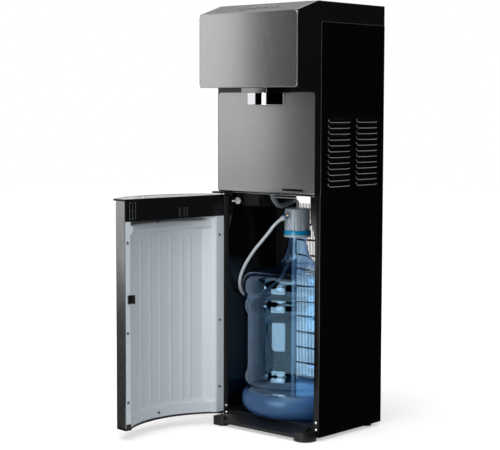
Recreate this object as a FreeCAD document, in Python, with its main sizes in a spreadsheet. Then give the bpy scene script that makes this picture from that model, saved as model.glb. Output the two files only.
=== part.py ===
"""Bottom load water cooler, standing on z = 0, front towards -Y, at its real size in millimetres."""
import FreeCAD
import Part
import Sketcher
import math
import os

os.makedirs("parts", exist_ok=True)
document = FreeCAD.newDocument("water_cooler")
sheet = document.addObject("Spreadsheet::Sheet", "Sizes")
sub_parts = []


class Dim:
    """A length that keeps its value and how it is worked out from the sheet's cells."""

    def __init__(self, value, text):
        self.value = float(value)
        self.text = text

    def __add__(self, other):
        return combined(self, "+", other)

    def __radd__(self, other):
        return combined(other, "+", self)

    def __sub__(self, other):
        return combined(self, "-", other)

    def __rsub__(self, other):
        return combined(other, "-", self)

    def __mul__(self, other):
        return combined(self, "*", other)

    def __rmul__(self, other):
        return combined(other, "*", self)

    def __truediv__(self, other):
        return combined(self, "/", other)

    def __neg__(self):
        return combined(0, "-", self)


def dim(value):
    return value if isinstance(value, Dim) else Dim(value, repr(float(value)))


def combined(left, sign, right):
    left, right = dim(left), dim(right)
    if sign == "+":
        value = left.value + right.value
    elif sign == "-":
        value = left.value - right.value
    elif sign == "*":
        value = left.value * right.value
    else:
        value = left.value / right.value
    return Dim(value, f"({left.text} {sign} {right.text})")


def size(alias, value, note):
    """Writes one driving dimension into the sheet."""
    size.row += 1
    sheet.set(f"A{size.row}", note)
    sheet.set(f"B{size.row}", str(value))
    sheet.setAlias(f"B{size.row}", alias)
    return Dim(value, f"Sizes.{alias}")


size.row = 0

# ---------------------------------------------------------------- driving dimensions
half_width = size("half_width", 155, "half the cabinet's width")
top_z = size("top_z", 1040, "cabinet height")
rear_y = size("rear_y", 177, "rear edge of the side panels")
front_y = size("front_y", -69, "front edge of the side panels")
steel = size("steel", 1.0, "painted sheet steel")
wall = size("wall", 3.0, "moulded plastic wall")
gap = size("gap", 0.3, "clearance between separate pieces")

base_bottom = size("base_bottom", 9, "underside of the base moulding")
floor_z = size("floor_z", 35, "floor that the bottle stands on")
lip_y = size("lip_y", -106, "front edge of the base")
lip_z = size("lip_z", 17, "top of the base's front lip")
ramp_y = size("ramp_y", -64, "where the ramp meets the floor")
ramp_half = size("ramp_half", 127, "half the width of the ramp")
lobe_z = size("lobe_z", 24, "top of the base's two front lobes")
foot_height = size("foot_height", 1.5, "rubber foot under a front lobe")

ceiling_z = size("ceiling_z", 583, "ceiling of the bottle compartment")
frame_z = size("frame_z", 590, "lower edge of the front frame")
seam_z = size("seam_z", 992, "seam between side panel and top cover")
flange = size("flange", 16.6, "return flange of a side panel")
gusset_x = size("gusset_x", 124.5, "inner edge of the gusset plates")

frame_y = size("frame_y", -89.5, "front rim of the front frame")
panel_thick = size("panel_thick", 2, "dispense panel")
panel_top = size("panel_top", 828.7, "top edge of the dispense panel")
lip_bow = size("lip_bow", 12, "bow of the lip under the dispense panel")

head_z = size("head_z", 840, "underside of the head")
head_y = size("head_y", -155.5, "front face of the head")
face_top = size("face_top", 1016, "top edge of the head's face")
face_thick = size("face_thick", 3, "face plate")
face_radius = size("face_radius", 10, "corner radius of the face plate")
ridge_y = size("ridge_y", -80, "ridge where the top slopes down to the face")
control_half = size("control_half", 147, "half the width of the sloping control panel")
button_pitch = size("button_pitch", 34, "spacing of the push buttons")
button_travel = size("button_travel", 1.5, "travel of a push button")

spout_y = size("spout_y", -108, "axis of the two spouts")
spout_x = size("spout_x", 18, "spout offset from the middle")
spout_radius = size("spout_radius", 5, "outer radius of a spout")
shroud_radius = size("shroud_radius", 60, "radius of the spout shroud")
shroud_front = size("shroud_front", -127, "front of the spout shroud")
shroud_z = size("shroud_z", 799, "lower edge of the spout shroud")
block_z = size("block_z", 827, "lower face of the spout block")

louvre_top = size("louvre_top", 767, "top of the louvre field")
louvre_pitch = size("louvre_pitch", 13.8, "louvre pitch")
louvre_height = size("louvre_height", 8.5, "louvre height")
louvre_length = size("louvre_length", 84, "louvre length")
louvre_front = size("louvre_front", -42.6, "front end of the first louvre column")
louvre_step = size("louvre_step", 107.2, "from one louvre column to the next")
louvre_out = size("louvre_out", 1.8, "how far a louvre stands out")

bottle_y = size("bottle_y", 32, "bottle axis")
bottle_radius = size("bottle_radius", 135, "bottle radius at its hoops")
bottle_wall = size("bottle_wall", 1.4, "bottle wall")
cap_radius = size("cap_radius", 31.3, "probe cap")
cap_bottom = size("cap_bottom", 474, "lower edge of the probe cap's collar")
cap_top = size("cap_top", 545, "top of the probe cap")
siphon_x = size("siphon_x", -7, "siphon tube")
siphon_y = size("siphon_y", 29, "siphon tube")

hinge_x = size("hinge_x", -151.5, "door hinge axis")
hinge_y = size("hinge_y", -79, "door hinge axis")
pin_radius = size("pin_radius", 1.5, "hinge pin")
door_open = size("door_open", 96, "how far the door stands open, in degrees")
door_half = size("door_half", 154, "half the door's width")
door_inner = size("door_inner", -73, "inner plane of the closed door")
door_side = size("door_side", 35.5, "thickness of the door at its sides")
door_front = size("door_front", -173, "front of the bowed door at its middle")
door_bottom = size("door_bottom", 27.5, "lower edge of the door")
door_top = size("door_top", 578, "top of the door")
band_z = size("band_z", 525, "lower edge of the door's top cap")
skin_thick = size("skin_thick", 2, "door skin")
lip_out = size("lip_out", 5, "overhang of the door's top lip")

duct_x = size("duct_x", 118, "inner side of the rear corner ducts")
duct_y = size("duct_y", 130, "front of the rear corner ducts")
duct_rear = size("duct_rear", 168, "rear of the rear corner ducts")
condenser_y = size("condenser_y", 172.8, "middle plane of the condenser")
condenser_half = size("condenser_half", 136, "half the condenser's width")
pass_pitch = size("pass_pitch", 40.4, "spacing of the condenser's passes")
wire_pitch = size("wire_pitch", 5, "spacing of the condenser's wires")
hose_radius = size("hose_radius", 4, "suction hose")
document.recompute()


# ---------------------------------------------------------------- ways of making a solid
def bind(item, property_name, value):
    """Ties one property to the sheet."""
    item.setExpression(property_name, dim(value).text)


def kept(item, name):
    """Gives a finished sub-part its name."""
    item.Label = name
    sub_parts.append(item)
    return item


def new_body(name):
    body = document.addObject("PartDesign::Body", name)
    return kept(body, name)


def sketch_on(body, role, level=0.0):
    """A sketch on one of the body's origin planes, moved to a level along X, Y or Z."""
    sketch = body.newObject("Sketcher::SketchObject", "Sketch")
    plane = [feature for feature in body.Origin.OriginFeatures if feature.Role == role][0]
    sketch.AttachmentSupport = [(plane, "")]
    sketch.MapMode = "FlatFace"
    bind(sketch, "AttachmentOffset.Base.z", -dim(level) if role == "XZ_Plane" else dim(level))
    return sketch


def vector(corner):
    return FreeCAD.Vector(dim(corner[0]).value, dim(corner[1]).value, 0)


def pinned(sketch, edge, end, corner):
    """Ties a sketch point's two coordinates to the sheet."""
    for kind, value in (("DistanceX", corner[0]), ("DistanceY", corner[1])):
        index = sketch.addConstraint(Sketcher.Constraint(kind, -1, 1, edge, end, dim(value).value))
        sketch.setExpression(f"Constraints[{index}]", dim(value).text)


def outline(sketch, corners):
    """A closed outline: corners are (x, y), and (x, y, 'arc') is a point halfway along an arc."""
    count = len(corners)
    spans = []
    for index, corner in enumerate(corners):
        if len(corner) == 3:
            continue
        following = corners[(index + 1) % count]
        if len(following) == 3:
            spans.append((corner, following, corners[(index + 2) % count]))
        else:
            spans.append((corner, None, following))
    ends = []
    for start, middle, finish in spans:
        if middle is None:
            edge = sketch.addGeometry(Part.LineSegment(vector(start), vector(finish)), False)
            ends.append((edge, 1, 2))
            continue
        edge = sketch.addGeometry(Part.Arc(vector(start), vector(middle), vector(finish)), False)
        to_start = (sketch.getPoint(edge, 1) - vector(start)).Length
        to_finish = (sketch.getPoint(edge, 2) - vector(start)).Length
        ends.append((edge, 1, 2) if to_start < to_finish else (edge, 2, 1))
    for index, (edge, first, last) in enumerate(ends):
        following, its_first, its_last = ends[(index + 1) % len(ends)]
        sketch.addConstraint(Sketcher.Constraint("Coincident", edge, last, following, its_first))
    for (edge, first, last), (start, middle, finish) in zip(ends, spans):
        pinned(sketch, edge, first, start)
        if middle is not None:
            point = sketch.addGeometry(Part.Point(vector(middle)), True)
            sketch.addConstraint(Sketcher.Constraint("PointOnObject", point, 1, edge))
            pinned(sketch, point, 1, middle)


def ring(sketch, x, y, radius):
    centre = FreeCAD.Vector(dim(x).value, dim(y).value, 0)
    circle = sketch.addGeometry(Part.Circle(centre, FreeCAD.Vector(0, 0, 1), dim(radius).value), False)
    pinned(sketch, circle, 3, (x, y))
    index = sketch.addConstraint(Sketcher.Constraint("Radius", circle, dim(radius).value))
    sketch.setExpression(f"Constraints[{index}]", dim(radius).text)


def pad(body, sketch, length, both_ways=False, backwards=False):
    feature = body.newObject("PartDesign::Pad", "Pad")
    feature.Profile = sketch
    bind(feature, "Length", length)
    feature.Midplane = both_ways
    feature.Reversed = backwards
    document.recompute()
    return feature


def pocket(body, sketch, length, both_ways=False, backwards=False):
    """Cuts a pocket, and makes sure that it took something away."""
    before = body.Shape.Volume
    feature = body.newObject("PartDesign::Pocket", "Pocket")
    feature.Profile = sketch
    bind(feature, "Length", length)
    feature.Midplane = both_ways
    feature.Reversed = backwards
    document.recompute()
    if body.Shape.Volume >= before - 0.01:
        raise ValueError(f"a pocket in {body.Label} cuts nothing")
    return feature


def slab(body, low, high, corners, holes=()):
    """Pads an outline drawn in X and Y from one level in Z to another."""
    sketch = sketch_on(body, "XY_Plane", low)
    outline(sketch, corners)
    for hole in holes:
        ring(sketch, *hole)
    return pad(body, sketch, high - low)


def scooped(body, low, high, corners):
    """Cuts an outline drawn in X and Y out of the body between two levels in Z."""
    sketch = sketch_on(body, "XY_Plane", low)
    outline(sketch, corners)
    return pocket(body, sketch, high - low, backwards=True)


def drilled(body, low, high, places):
    """Cuts round holes (x, y, radius) between two levels in Z."""
    sketch = sketch_on(body, "XY_Plane", low)
    for place in places:
        ring(sketch, *place)
    return pocket(body, sketch, high - low, backwards=True)


def rounded(body, radius, chosen):
    """Fillets the edges of the body that the test chosen picks."""
    shape = body.Tip.Shape
    names = [f"Edge{number}" for number, edge in enumerate(shape.Edges, 1) if chosen(edge)]
    feature = body.newObject("PartDesign::Fillet", "Fillet")
    feature.Base = (body.Group[-2], names)
    bind(feature, "Radius", radius)
    document.recompute()
    return feature


def along(edge, axis):
    """Tells whether a straight edge runs along an axis, given as 'x', 'y' or 'z'."""
    if edge.Curve.TypeId != "Part::GeomLine":
        return False
    run = edge.Vertexes[0].Point - edge.Vertexes[-1].Point
    return abs(abs(getattr(run, axis)) - edge.Length) < 1e-6


def rectangle(x0, x1, y0, y1):
    return [(x0, y0), (x1, y0), (x1, y1), (x0, y1)]


def box(x0, x1, y0, y1, z0, z1):
    item = document.addObject("Part::Box", "Box")
    bind(item, "Length", dim(x1) - x0)
    bind(item, "Width", dim(y1) - y0)
    bind(item, "Height", dim(z1) - z0)
    for letter, value in zip("xyz", (x0, y0, z0)):
        bind(item, f"Placement.Base.{letter}", value)
    return item


def cylinder(start, radius, length, axis="z"):
    """A cylinder from its start point along an axis."""
    item = document.addObject("Part::Cylinder", "Cylinder")
    bind(item, "Radius", radius)
    bind(item, "Height", length)
    turns = {"z": (0, 0, 0), "y": (0, 0, -90), "x": (0, 90, 0)}
    item.Placement.Rotation = FreeCAD.Rotation(*turns[axis])
    for letter, value in zip("xyz", start):
        bind(item, f"Placement.Base.{letter}", value)
    return item


def joined(name, pieces):
    item = document.addObject("Part::MultiFuse", "Fuse")
    item.Shapes = pieces
    return kept(item, name) if name else item


def grouped(name, pieces):
    """Separate solids that share one node."""
    item = document.addObject("Part::Compound", "Group")
    item.Links = pieces
    return kept(item, name)


def minus(name, base, tool):
    item = document.addObject("Part::Cut", "Cut")
    item.Base = base
    item.Tool = tool
    return kept(item, name) if name else item


def coded(name, shape):
    item = document.addObject("Part::Feature", "Feature")
    item.Shape = shape
    return kept(item, name) if name else item


def turned(name, profile, x, y):
    """A body turned about a vertical axis at x, y, from an outline in radius and Z."""
    body = new_body(name)
    sketch = sketch_on(body, "XZ_Plane", 0)
    outline(sketch, profile)
    feature = body.newObject("PartDesign::Revolution", "Revolution")
    feature.Profile = sketch
    feature.ReferenceAxis = (sketch, ["V_Axis"])
    feature.Angle = 360
    document.recompute()
    bind(body, "Placement.Base.x", x)
    bind(body, "Placement.Base.y", y)
    return body


# ---------------------------------------------------------------- tubes along a route
def bend_radii(points):
    """The radius of the tangent arc at each inner point of a route."""
    radii = []
    for before, here, after in zip(points, points[1:], points[2:]):
        turn = (here - before).getAngle(after - here)
        shorter = min((here - before).Length, (after - here).Length)
        radii.append(0.45 * shorter / math.tan(turn / 2))
    return radii


def route_wire(points):
    """Straight runs joined by tangent arcs."""
    edges = []
    last = points[0]
    for index, radius in enumerate(bend_radii(points), 1):
        here = points[index]
        back = (points[index - 1] - here).normalize()
        onward = (points[index + 1] - here).normalize()
        half = back.getAngle(onward) / 2
        reach = radius / math.tan(half)
        inward = (back + onward).normalize()
        middle = here + inward * (radius / math.sin(half) - radius)
        start = here + back * reach
        finish = here + onward * reach
        edges.append(Part.LineSegment(last, start).toShape())
        edges.append(Part.Arc(start, middle, finish).toShape())
        last = finish
    edges.append(Part.LineSegment(last, points[-1]).toShape())
    return Part.Wire(edges)


def tube(points, radius, bore=0.0):
    """A tube along a route, hollow if it has a bore."""
    path = route_wire(points)
    solids = []
    for size_of in (radius, bore):
        if size_of > 0:
            circle = Part.Circle(points[0], points[1] - points[0], size_of)
            solids.append(path.makePipeShell([Part.Wire(circle.toShape())], True, False))
    solid = solids[0].cut(solids[1]) if len(solids) == 2 else solids[0]
    return solid, path.Length


def vectors(places):
    return [FreeCAD.Vector(*place) for place in places]


# ---------------------------------------------------------------- base
# The floor fits behind the panels' front returns, and a narrower ramp runs out under the door's hollow back.
inner_half = half_width - steel
base_front = front_y + steel + gap
base = new_body("base_moulding")
slab(base, base_bottom, floor_z, rectangle(-inner_half, inner_half, base_front, rear_y - 1))
ramp = sketch_on(base, "YZ_Plane")
outline(ramp, [(lip_y, base_bottom), (base_front + 5, base_bottom), (base_front + 5, floor_z),
               (ramp_y, floor_z), (lip_y, lip_z)])
pad(base, ramp, 2 * ramp_half, both_ways=True)
scooped(base, base_bottom, floor_z - wall, rectangle(wall - inner_half, inner_half - wall,
                                                     base_front + 5 + wall, rear_y - 1 - wall))
lobe_back = front_y - gap
left_lobe = [(-inner_half, lobe_back), (-inner_half, lip_y - 1), (hinge_x + 22, lip_y - 1),
             (hinge_x + 28, lip_y + 1.5, "arc"), (hinge_x + 30, lip_y + 8), (hinge_x + 30, lobe_back)]
slab(base, foot_height, lobe_z, left_lobe)
right_lobe = [(94, lobe_back), (94, lip_y + 26), (121, lip_y - 1, "arc"), (148, lip_y + 26),
              (148, lobe_back)]
slab(base, foot_height, lobe_z, right_lobe)

foot_places = [(hinge_x + 15, lip_y + 16, foot_height), (121, lip_y + 26, foot_height),
               (-128, rear_y - 26, base_bottom), (128, rear_y - 26, base_bottom)]
grouped("rubber_feet", [cylinder((x, y, 0), 13, height) for x, y, height in foot_places])


# ---------------------------------------------------------------- painted steel side panels
def side_panel(name, side):
    """A folded sheet with front and rear returns and two columns of pressed louvres."""
    outer = side * half_width
    inner = outer - side * steel
    body = new_body(name)
    slab(body, base_bottom + 1, seam_z,
         [(outer - side * flange, front_y), (outer, front_y), (outer, rear_y), (outer - side * 14, rear_y),
          (outer - side * 14, rear_y - steel), (inner, rear_y - steel), (inner, front_y + steel),
          (outer - side * flange, front_y + steel)])
    slot = sketch_on(body, "YZ_Plane", inner - side * steel)
    low = louvre_top - louvre_height
    outline(slot, rectangle(louvre_front, louvre_front + louvre_length, low, low + louvre_height * 0.6))
    opening = pocket(body, slot, 4 * steel, backwards=side > 0)
    blade = sketch_on(body, "XZ_Plane", louvre_front)
    outline(blade, [(inner, louvre_top), (outer, louvre_top), (outer + side * louvre_out, low),
                    (outer + side * (louvre_out - 0.8), low), (inner, low + louvre_height * 0.6)])
    hood = pad(body, blade, louvre_length, backwards=True)
    grid = body.newObject("PartDesign::MultiTransform", "LouvreGrid")
    grid.Originals = [opening, hood]
    rows = document.addObject("PartDesign::LinearPattern", "Rows")
    rows.Direction = (slot, ["V_Axis"])
    rows.Reversed = True
    rows.Occurrences = 12
    bind(rows, "Length", 11 * louvre_pitch)
    columns = document.addObject("PartDesign::LinearPattern", "Columns")
    columns.Direction = (slot, ["H_Axis"])
    columns.Occurrences = 2
    bind(columns, "Length", louvre_step)
    grid.Transformations = [rows, columns]
    body.Tip = grid
    document.recompute()


side_panel("left_side_panel", -1)
side_panel("right_side_panel", 1)

gussets = []
for side in (-1, 1):
    body = document.addObject("PartDesign::Body", "Gusset")
    plate = sketch_on(body, "XZ_Plane", front_y)
    outline(plate, [(side * (half_width - flange), 487), (side * (half_width - flange), ceiling_z),
                    (side * gusset_x, ceiling_z), (side * gusset_x, 531)])
    pad(body, plate, steel, backwards=True)
    gussets.append(body)
grouped("pillar_gussets", gussets)

screw_head = 3.2
screw_height = 1.6
screw_places = [(side * 146.0, z) for side in (-1, 1) for z in (28.0, 45.0)]
grouped("pillar_screws", [cylinder((x, front_y - screw_height, z), screw_head, screw_height, "y")
                          for x, z in screw_places])


# ---------------------------------------------------------------- head and top
cover = new_body("top_cover")
slab(cover, seam_z, top_z, rectangle(-half_width, half_width, front_y, rear_y))
rounded(cover, 3, lambda edge: along(edge, "z") and edge.CenterOfMass.y > rear_y.value - 1)
rounded(cover, 1.5, lambda edge: edge.CenterOfMass.z > top_z.value - 0.1
        and edge.CenterOfMass.y > front_y.value + 1)
scooped(cover, seam_z, top_z - wall, rectangle(wall - half_width, half_width - wall,
                                               front_y - 1, rear_y - wall))

housing_y = head_y + face_thick
head = new_body("head_housing")
profile = sketch_on(head, "YZ_Plane")
outline(profile, [(housing_y, head_z), (housing_y, face_top), (ridge_y, top_z), (front_y, top_z),
                  (front_y, head_z)])
pad(head, profile, 2 * half_width, both_ways=True)
inside = sketch_on(head, "YZ_Plane")
outline(inside, [(housing_y + wall, head_z + wall), (housing_y + wall, face_top - wall),
                 (ridge_y, top_z - wall), (front_y + 1, top_z - wall), (front_y + 1, head_z + wall)])
pocket(head, inside, 2 * (half_width - wall), both_ways=True)
opening = sketch_on(head, "YZ_Plane")
outline(opening, [(housing_y + 2.5, face_top - 8), (housing_y + 2.5, top_z + 5), (ridge_y - 3, top_z + 5),
                  (ridge_y - 3, top_z - 12)])
pocket(head, opening, 2 * control_half, both_ways=True)

face = new_body("head_face")
plate = sketch_on(face, "XZ_Plane", head_y)
outline(plate, rectangle(-half_width, half_width, head_z, face_top))
pad(face, plate, face_thick, backwards=True)
rounded(face, face_radius, lambda edge: along(edge, "y"))
rounded(face, 0.8, lambda edge: edge.CenterOfMass.y < head_y.value + 0.01)

# The control panel lies in the slope between the cheeks of the head.
slope_rise = (top_z - face_top).value
slope_run = (ridge_y - housing_y).value
slope_angle = math.degrees(math.atan2(slope_rise, slope_run))
slope_up = FreeCAD.Vector(0, slope_run, slope_rise).normalize()
slope_out = FreeCAD.Vector(0, -slope_rise, slope_run).normalize()
slope_corner = FreeCAD.Vector(0, housing_y.value, face_top.value)
plate_inset = 3.0
plate_reach = math.hypot(slope_rise, slope_run) - 2 * plate_inset - 1.8
plate_thick = 2.5
button_long = 20.0
button_deep = 9.0


def on_slope(item, x, up, out):
    """Places an item drawn flat so that its corner lies at x, a way up the slope and out of it."""
    place = slope_corner + slope_up * up + slope_out * out + FreeCAD.Vector(x, 0, 0)
    turn = FreeCAD.Rotation(FreeCAD.Vector(1, 0, 0), slope_angle)
    item.Placement = FreeCAD.Placement(place, turn)
    return item


def flat_box(length, depth, height):
    item = document.addObject("Part::Box", "Box")
    bind(item, "Length", length)
    bind(item, "Width", depth)
    bind(item, "Height", height)
    return item


button_mid = plate_inset + 0.3 + plate_reach * 0.52
button_x = [(index - 1.5) * button_pitch.value for index in range(4)]
openings = []
for x in button_x:
    opening = flat_box(button_long + 0.8, button_deep + 0.8, 3 * plate_thick)
    openings.append(on_slope(opening, x - button_long / 2 - 0.4, button_mid - button_deep / 2 - 0.4,
                             -2 * plate_thick))
plate = on_slope(flat_box(2 * control_half - 0.6, plate_reach, plate_thick), 0.3 - control_half.value,
                 plate_inset + 0.3, -plate_thick)
minus("control_panel", plate, joined(None, openings))
for name, x in zip(("hot_button", "warm_button", "cold_button", "lock_button"), button_x):
    cap = on_slope(flat_box(button_long, button_deep, plate_thick + 1.0), x - button_long / 2,
                   button_mid - button_deep / 2, -plate_thick - 0.3)
    skirt = on_slope(flat_box(button_long + 3, button_deep + 3, 1.0), x - button_long / 2 - 1.5,
                     button_mid - button_deep / 2 - 1.5, -plate_thick - 1.3)
    joined(name, [cap, skirt])
board_drop = plate_thick + 1.3 + button_travel.value + 0.4
board = [on_slope(flat_box(220, 40, 1.6), -110, button_mid - 20, -board_drop - 4.6)]
board += [on_slope(flat_box(6, 6, 3.0), x - 3, button_mid - 3, -board_drop - 3.0) for x in button_x]
joined("control_board", board)


# ---------------------------------------------------------------- dispensing front
panel_front = frame_y + 0.2
panel_back = panel_front + panel_thick
panel_half = half_width - 1.7
feed_z = head_z - 7
frame = new_body("front_frame")
slab(frame, frame_z, head_z, rectangle(-half_width, half_width, frame_y, front_y))
recess = sketch_on(frame, "XZ_Plane", panel_back)
corner = 8.0
outline(recess, [(-panel_half - gap, frame_z - 1), (panel_half + gap, frame_z - 1),
                 (panel_half + gap, panel_top + gap - corner),
                 (panel_half + gap - corner * 0.293, panel_top + gap - corner * 0.293, "arc"),
                 (panel_half + gap - corner, panel_top + gap), (corner - panel_half - gap, panel_top + gap),
                 (corner * 0.293 - panel_half - gap, panel_top + gap - corner * 0.293, "arc"),
                 (-panel_half - gap, panel_top + gap - corner)])
pocket(frame, recess, 5, backwards=True)
hollow = sketch_on(frame, "XZ_Plane", panel_back + wall)
outline(hollow, rectangle(wall - half_width, half_width - wall, frame_z + wall, head_z - wall))
pocket(frame, hollow, 20)
feed = sketch_on(frame, "XZ_Plane", panel_back + wall + 1)
for side in (-1, 1):
    ring(feed, side * spout_x, feed_z, 4.2)
pocket(frame, feed, 10, backwards=True)

panel = new_body("dispense_panel")
plate = sketch_on(panel, "XZ_Plane", panel_front)
outline(plate, [(-panel_half, frame_z), (panel_half, frame_z), (panel_half, panel_top - corner),
                (panel_half - corner * 0.293, panel_top - corner * 0.293, "arc"),
                (panel_half - corner, panel_top), (corner - panel_half, panel_top),
                (corner * 0.293 - panel_half, panel_top - corner * 0.293, "arc"),
                (-panel_half, panel_top - corner)])
pad(panel, plate, panel_thick, backwards=True)
slot = sketch_on(panel, "XZ_Plane", panel_front - 1)
outline(slot, rectangle(54, 118, frame_z + 5.5, frame_z + 11))
pocket(panel, slot, 5, backwards=False)
slab(panel, frame_z, frame_z + 3.5, [(-panel_half, panel_front + 1), (-panel_half, panel_front),
                                     (0, panel_front - lip_bow, "arc"), (panel_half, panel_front),
                                     (panel_half, panel_front + 1)])

block = new_body("nozzle_block")
slab(block, block_z, head_z - gap, rectangle(-41, 41, head_y + 25, frame_y))
rounded(block, 2, lambda edge: along(edge, "z") and edge.CenterOfMass.y < head_y.value + 26)
drilled(block, block_z, head_z, [(side * spout_x, spout_y, spout_radius + 0.1) for side in (-1, 1)])
feed = sketch_on(block, "XZ_Plane", frame_y)
for side in (-1, 1):
    ring(feed, side * spout_x, feed_z, 3.5)
pocket(block, feed, 14, backwards=True)

shroud_y = shroud_front + shroud_radius
shroud_half = 55.5
shroud = new_body("nozzle_shroud")
slab(shroud, shroud_z, block_z, [(-shroud_half, panel_front), (0, shroud_front, "arc"),
                                 (shroud_half, panel_front)])
rounded(shroud, 1, lambda edge: edge.Length > 100 and edge.CenterOfMass.z < shroud_z.value + 1
        and edge.Curve.TypeId == "Part::GeomCircle")
scooped(shroud, shroud_z, block_z - wall, [(wall - shroud_half, panel_front - wall),
                                           (0, shroud_front + wall, "arc"),
                                           (shroud_half - wall, panel_front - wall)])
drilled(shroud, block_z - wall - 1, block_z, [(side * spout_x, spout_y, spout_radius + 0.1)
                                              for side in (-1, 1)])
spouts = []
for side in (-1, 1):
    outer_tube = cylinder((side * spout_x, spout_y, shroud_z + 4), spout_radius, block_z + 3 - shroud_z)
    bore_tube = cylinder((side * spout_x, spout_y, shroud_z + 3), spout_radius - 1.5, 40)
    spouts.append(minus(None, outer_tube, bore_tube))
grouped("spouts", spouts)


# ---------------------------------------------------------------- rear
rear = new_body("rear_upper_panel")
plate = sketch_on(rear, "XZ_Plane", rear_y - 2 * steel)
outline(plate, rectangle(-inner_half, inner_half, ceiling_z + 2, seam_z))
pad(rear, plate, steel, backwards=True)
vents = sketch_on(rear, "XZ_Plane", rear_y - 3 * steel)
for index in range(10):
    outline(vents, rectangle(-90, 90, 812 + index * 12, 816 + index * 12))
pocket(rear, vents, 3 * steel)
cutouts = sketch_on(rear, "XZ_Plane", rear_y - 3 * steel)
outline(cutouts, rectangle(-118, -90, 640, 660))
for x in (-70, -42):
    outline(cutouts, rectangle(x - 7, x + 7, 640, 661))
for x in (84, 116):
    ring(cutouts, x, 650, 8)
pocket(rear, cutouts, 3 * steel)
steel_back = rear_y - steel

socket = box(-118, -90, steel_back - 22, steel_back, 640, 660)
flange_plate = box(-129, -79, steel_back, steel_back + 1, 636, 664)
shell = joined(None, [socket, flange_plate])
well = box(-115, -93, steel_back - 16, steel_back + 5, 643, 657)
pins = [box(x - 1, x + 1, steel_back - 20, steel_back - 3, z - 2, z + 2)
        for x, z in ((-104, 653), (-110, 648), (-98, 648))]
inlet = minus(None, shell, well)
joined("power_inlet", [inlet] + pins)

switch_frames = []
for name, x in (("hot_switch", -70), ("cold_switch", -42)):
    housing = joined(None, [box(x - 7, x + 7, steel_back - 14, steel_back, 640, 661),
                            box(x - 9, x + 9, steel_back, steel_back + 0.9, 637.5, 663.5)])
    well = box(x - 5.5, x + 5.5, steel_back - 10, steel_back + 5, 641.5, 659.5)
    switch_frames.append(minus(None, housing, well))
    rocker = new_body(name)
    side_view = sketch_on(rocker, "YZ_Plane", x)
    outline(side_view, [(steel_back - 7.5, 643.5), (steel_back - 7.5, 657.5), (steel_back + 2.6, 658),
                        (steel_back + 0.6, 650.5, "arc"), (steel_back + 0.9, 643)])
    pad(rocker, side_view, 10.4, both_ways=True)

grouped("switch_frames", switch_frames)

plugs = []
for x in (84, 116):
    plugs.append(joined(None, [cylinder((x, steel_back - 20, 650), 7.6, 20, "y"),
                               cylinder((x, steel_back, 650), 11, 4, "y")]))
grouped("drain_plugs", plugs)

ducts = []
for side in (-1, 1):
    body = document.addObject("PartDesign::Body", "Duct")
    slab(body, floor_z, ceiling_z, [(side * inner_half, duct_y), (side * duct_x, duct_y),
                                    (side * duct_x, duct_rear), (side * (duct_x + 11), duct_rear),
                                    (side * (duct_x + 11), duct_rear - 1.5),
                                    (side * (duct_x + 1.5), duct_rear - 1.5),
                                    (side * (duct_x + 1.5), duct_y + 1.5), (side * inner_half, duct_y + 1.5)])
    ducts.append(body)
grouped("rear_ducts", ducts)

tube_radius = 2.5
wire_radius = 0.8
passes = 12
bottom_pass = 86.9
coil = []
half = condenser_half.value
level = condenser_y.value
for index in range(passes):
    z = bottom_pass + index * pass_pitch.value
    side = 1 if index % 2 == 0 else -1
    turn_x = side * (half - pass_pitch.value / 2)
    near = FreeCAD.Vector(-turn_x, level, z)
    far = FreeCAD.Vector(turn_x, level, z)
    coil.append(Part.LineSegment(near, far).toShape())
    if index < passes - 1:
        bend = FreeCAD.Vector(side * half, level, z + pass_pitch.value / 2)
        above = FreeCAD.Vector(turn_x, level, z + pass_pitch.value)
        coil.append(Part.Arc(far, bend, above).toShape())
start = coil[0].Vertexes[0].Point
section = Part.Wire(Part.Circle(start, FreeCAD.Vector(1, 0, 0), tube_radius).toShape())
serpentine = coded(None, Part.Wire(coil).makePipeShell([section], True, False))
wires = []
wire_count = int(2 * (half - 20) / wire_pitch.value)
for index in range(wire_count + 1):
    x = (index - wire_count / 2) * wire_pitch
    for side in (-1, 1):
        y = condenser_y + side * (tube_radius + wire_radius)
        wires.append(cylinder((x, y, bottom_pass - 14), wire_radius, (passes - 1) * pass_pitch + 28))
kept(serpentine, "condenser_coil")

# Four lugs across the bends carry the coil on the rear faces of the corner ducts.
lugs = []
for side, index in ((1, 0), (1, 8), (-1, 1), (-1, 9)):
    z = bottom_pass + (index + 0.5) * pass_pitch
    near_x, far_x = sorted((side * (duct_x + 4), side * (duct_x + 10)), key=lambda edge: edge.value)
    lugs.append(box(near_x, far_x, duct_rear, condenser_y - tube_radius, z - 22, z + 22))
grouped("condenser_wires", wires + lugs)


# ---------------------------------------------------------------- works above the compartment
shelf_thick = 1.5
deck_z = ceiling_z + shelf_thick
deck = new_body("compressor_shelf")
slab(deck, ceiling_z, deck_z, rectangle(-inner_half, inner_half, front_y + steel, rear_y - 2 * steel))
compressor_x = 62.0
compressor_y = 84.0
mounts = []
for dx in (-1, 1):
    for dy in (-1, 1):
        mounts.append(cylinder((compressor_x + dx * 58, compressor_y + dy * 42, deck_z), 8, 10))
grouped("compressor_mounts", mounts)
feet_plate = box(compressor_x - 70, compressor_x + 70, compressor_y - 54, compressor_y + 54,
                 deck_z + 10, deck_z + 13)
pot = [(0, deck_z + 13), (44, deck_z + 13), (52, deck_z + 24), (52, deck_z + 94),
       (40, deck_z + 120, "arc"), (10, deck_z + 129), (0, deck_z + 129)]
dome = turned("compressor", pot, compressor_x, compressor_y)
sub_parts.remove(dome)
dome.Label = "dome"
joined("compressor", [feet_plate, dome])

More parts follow.
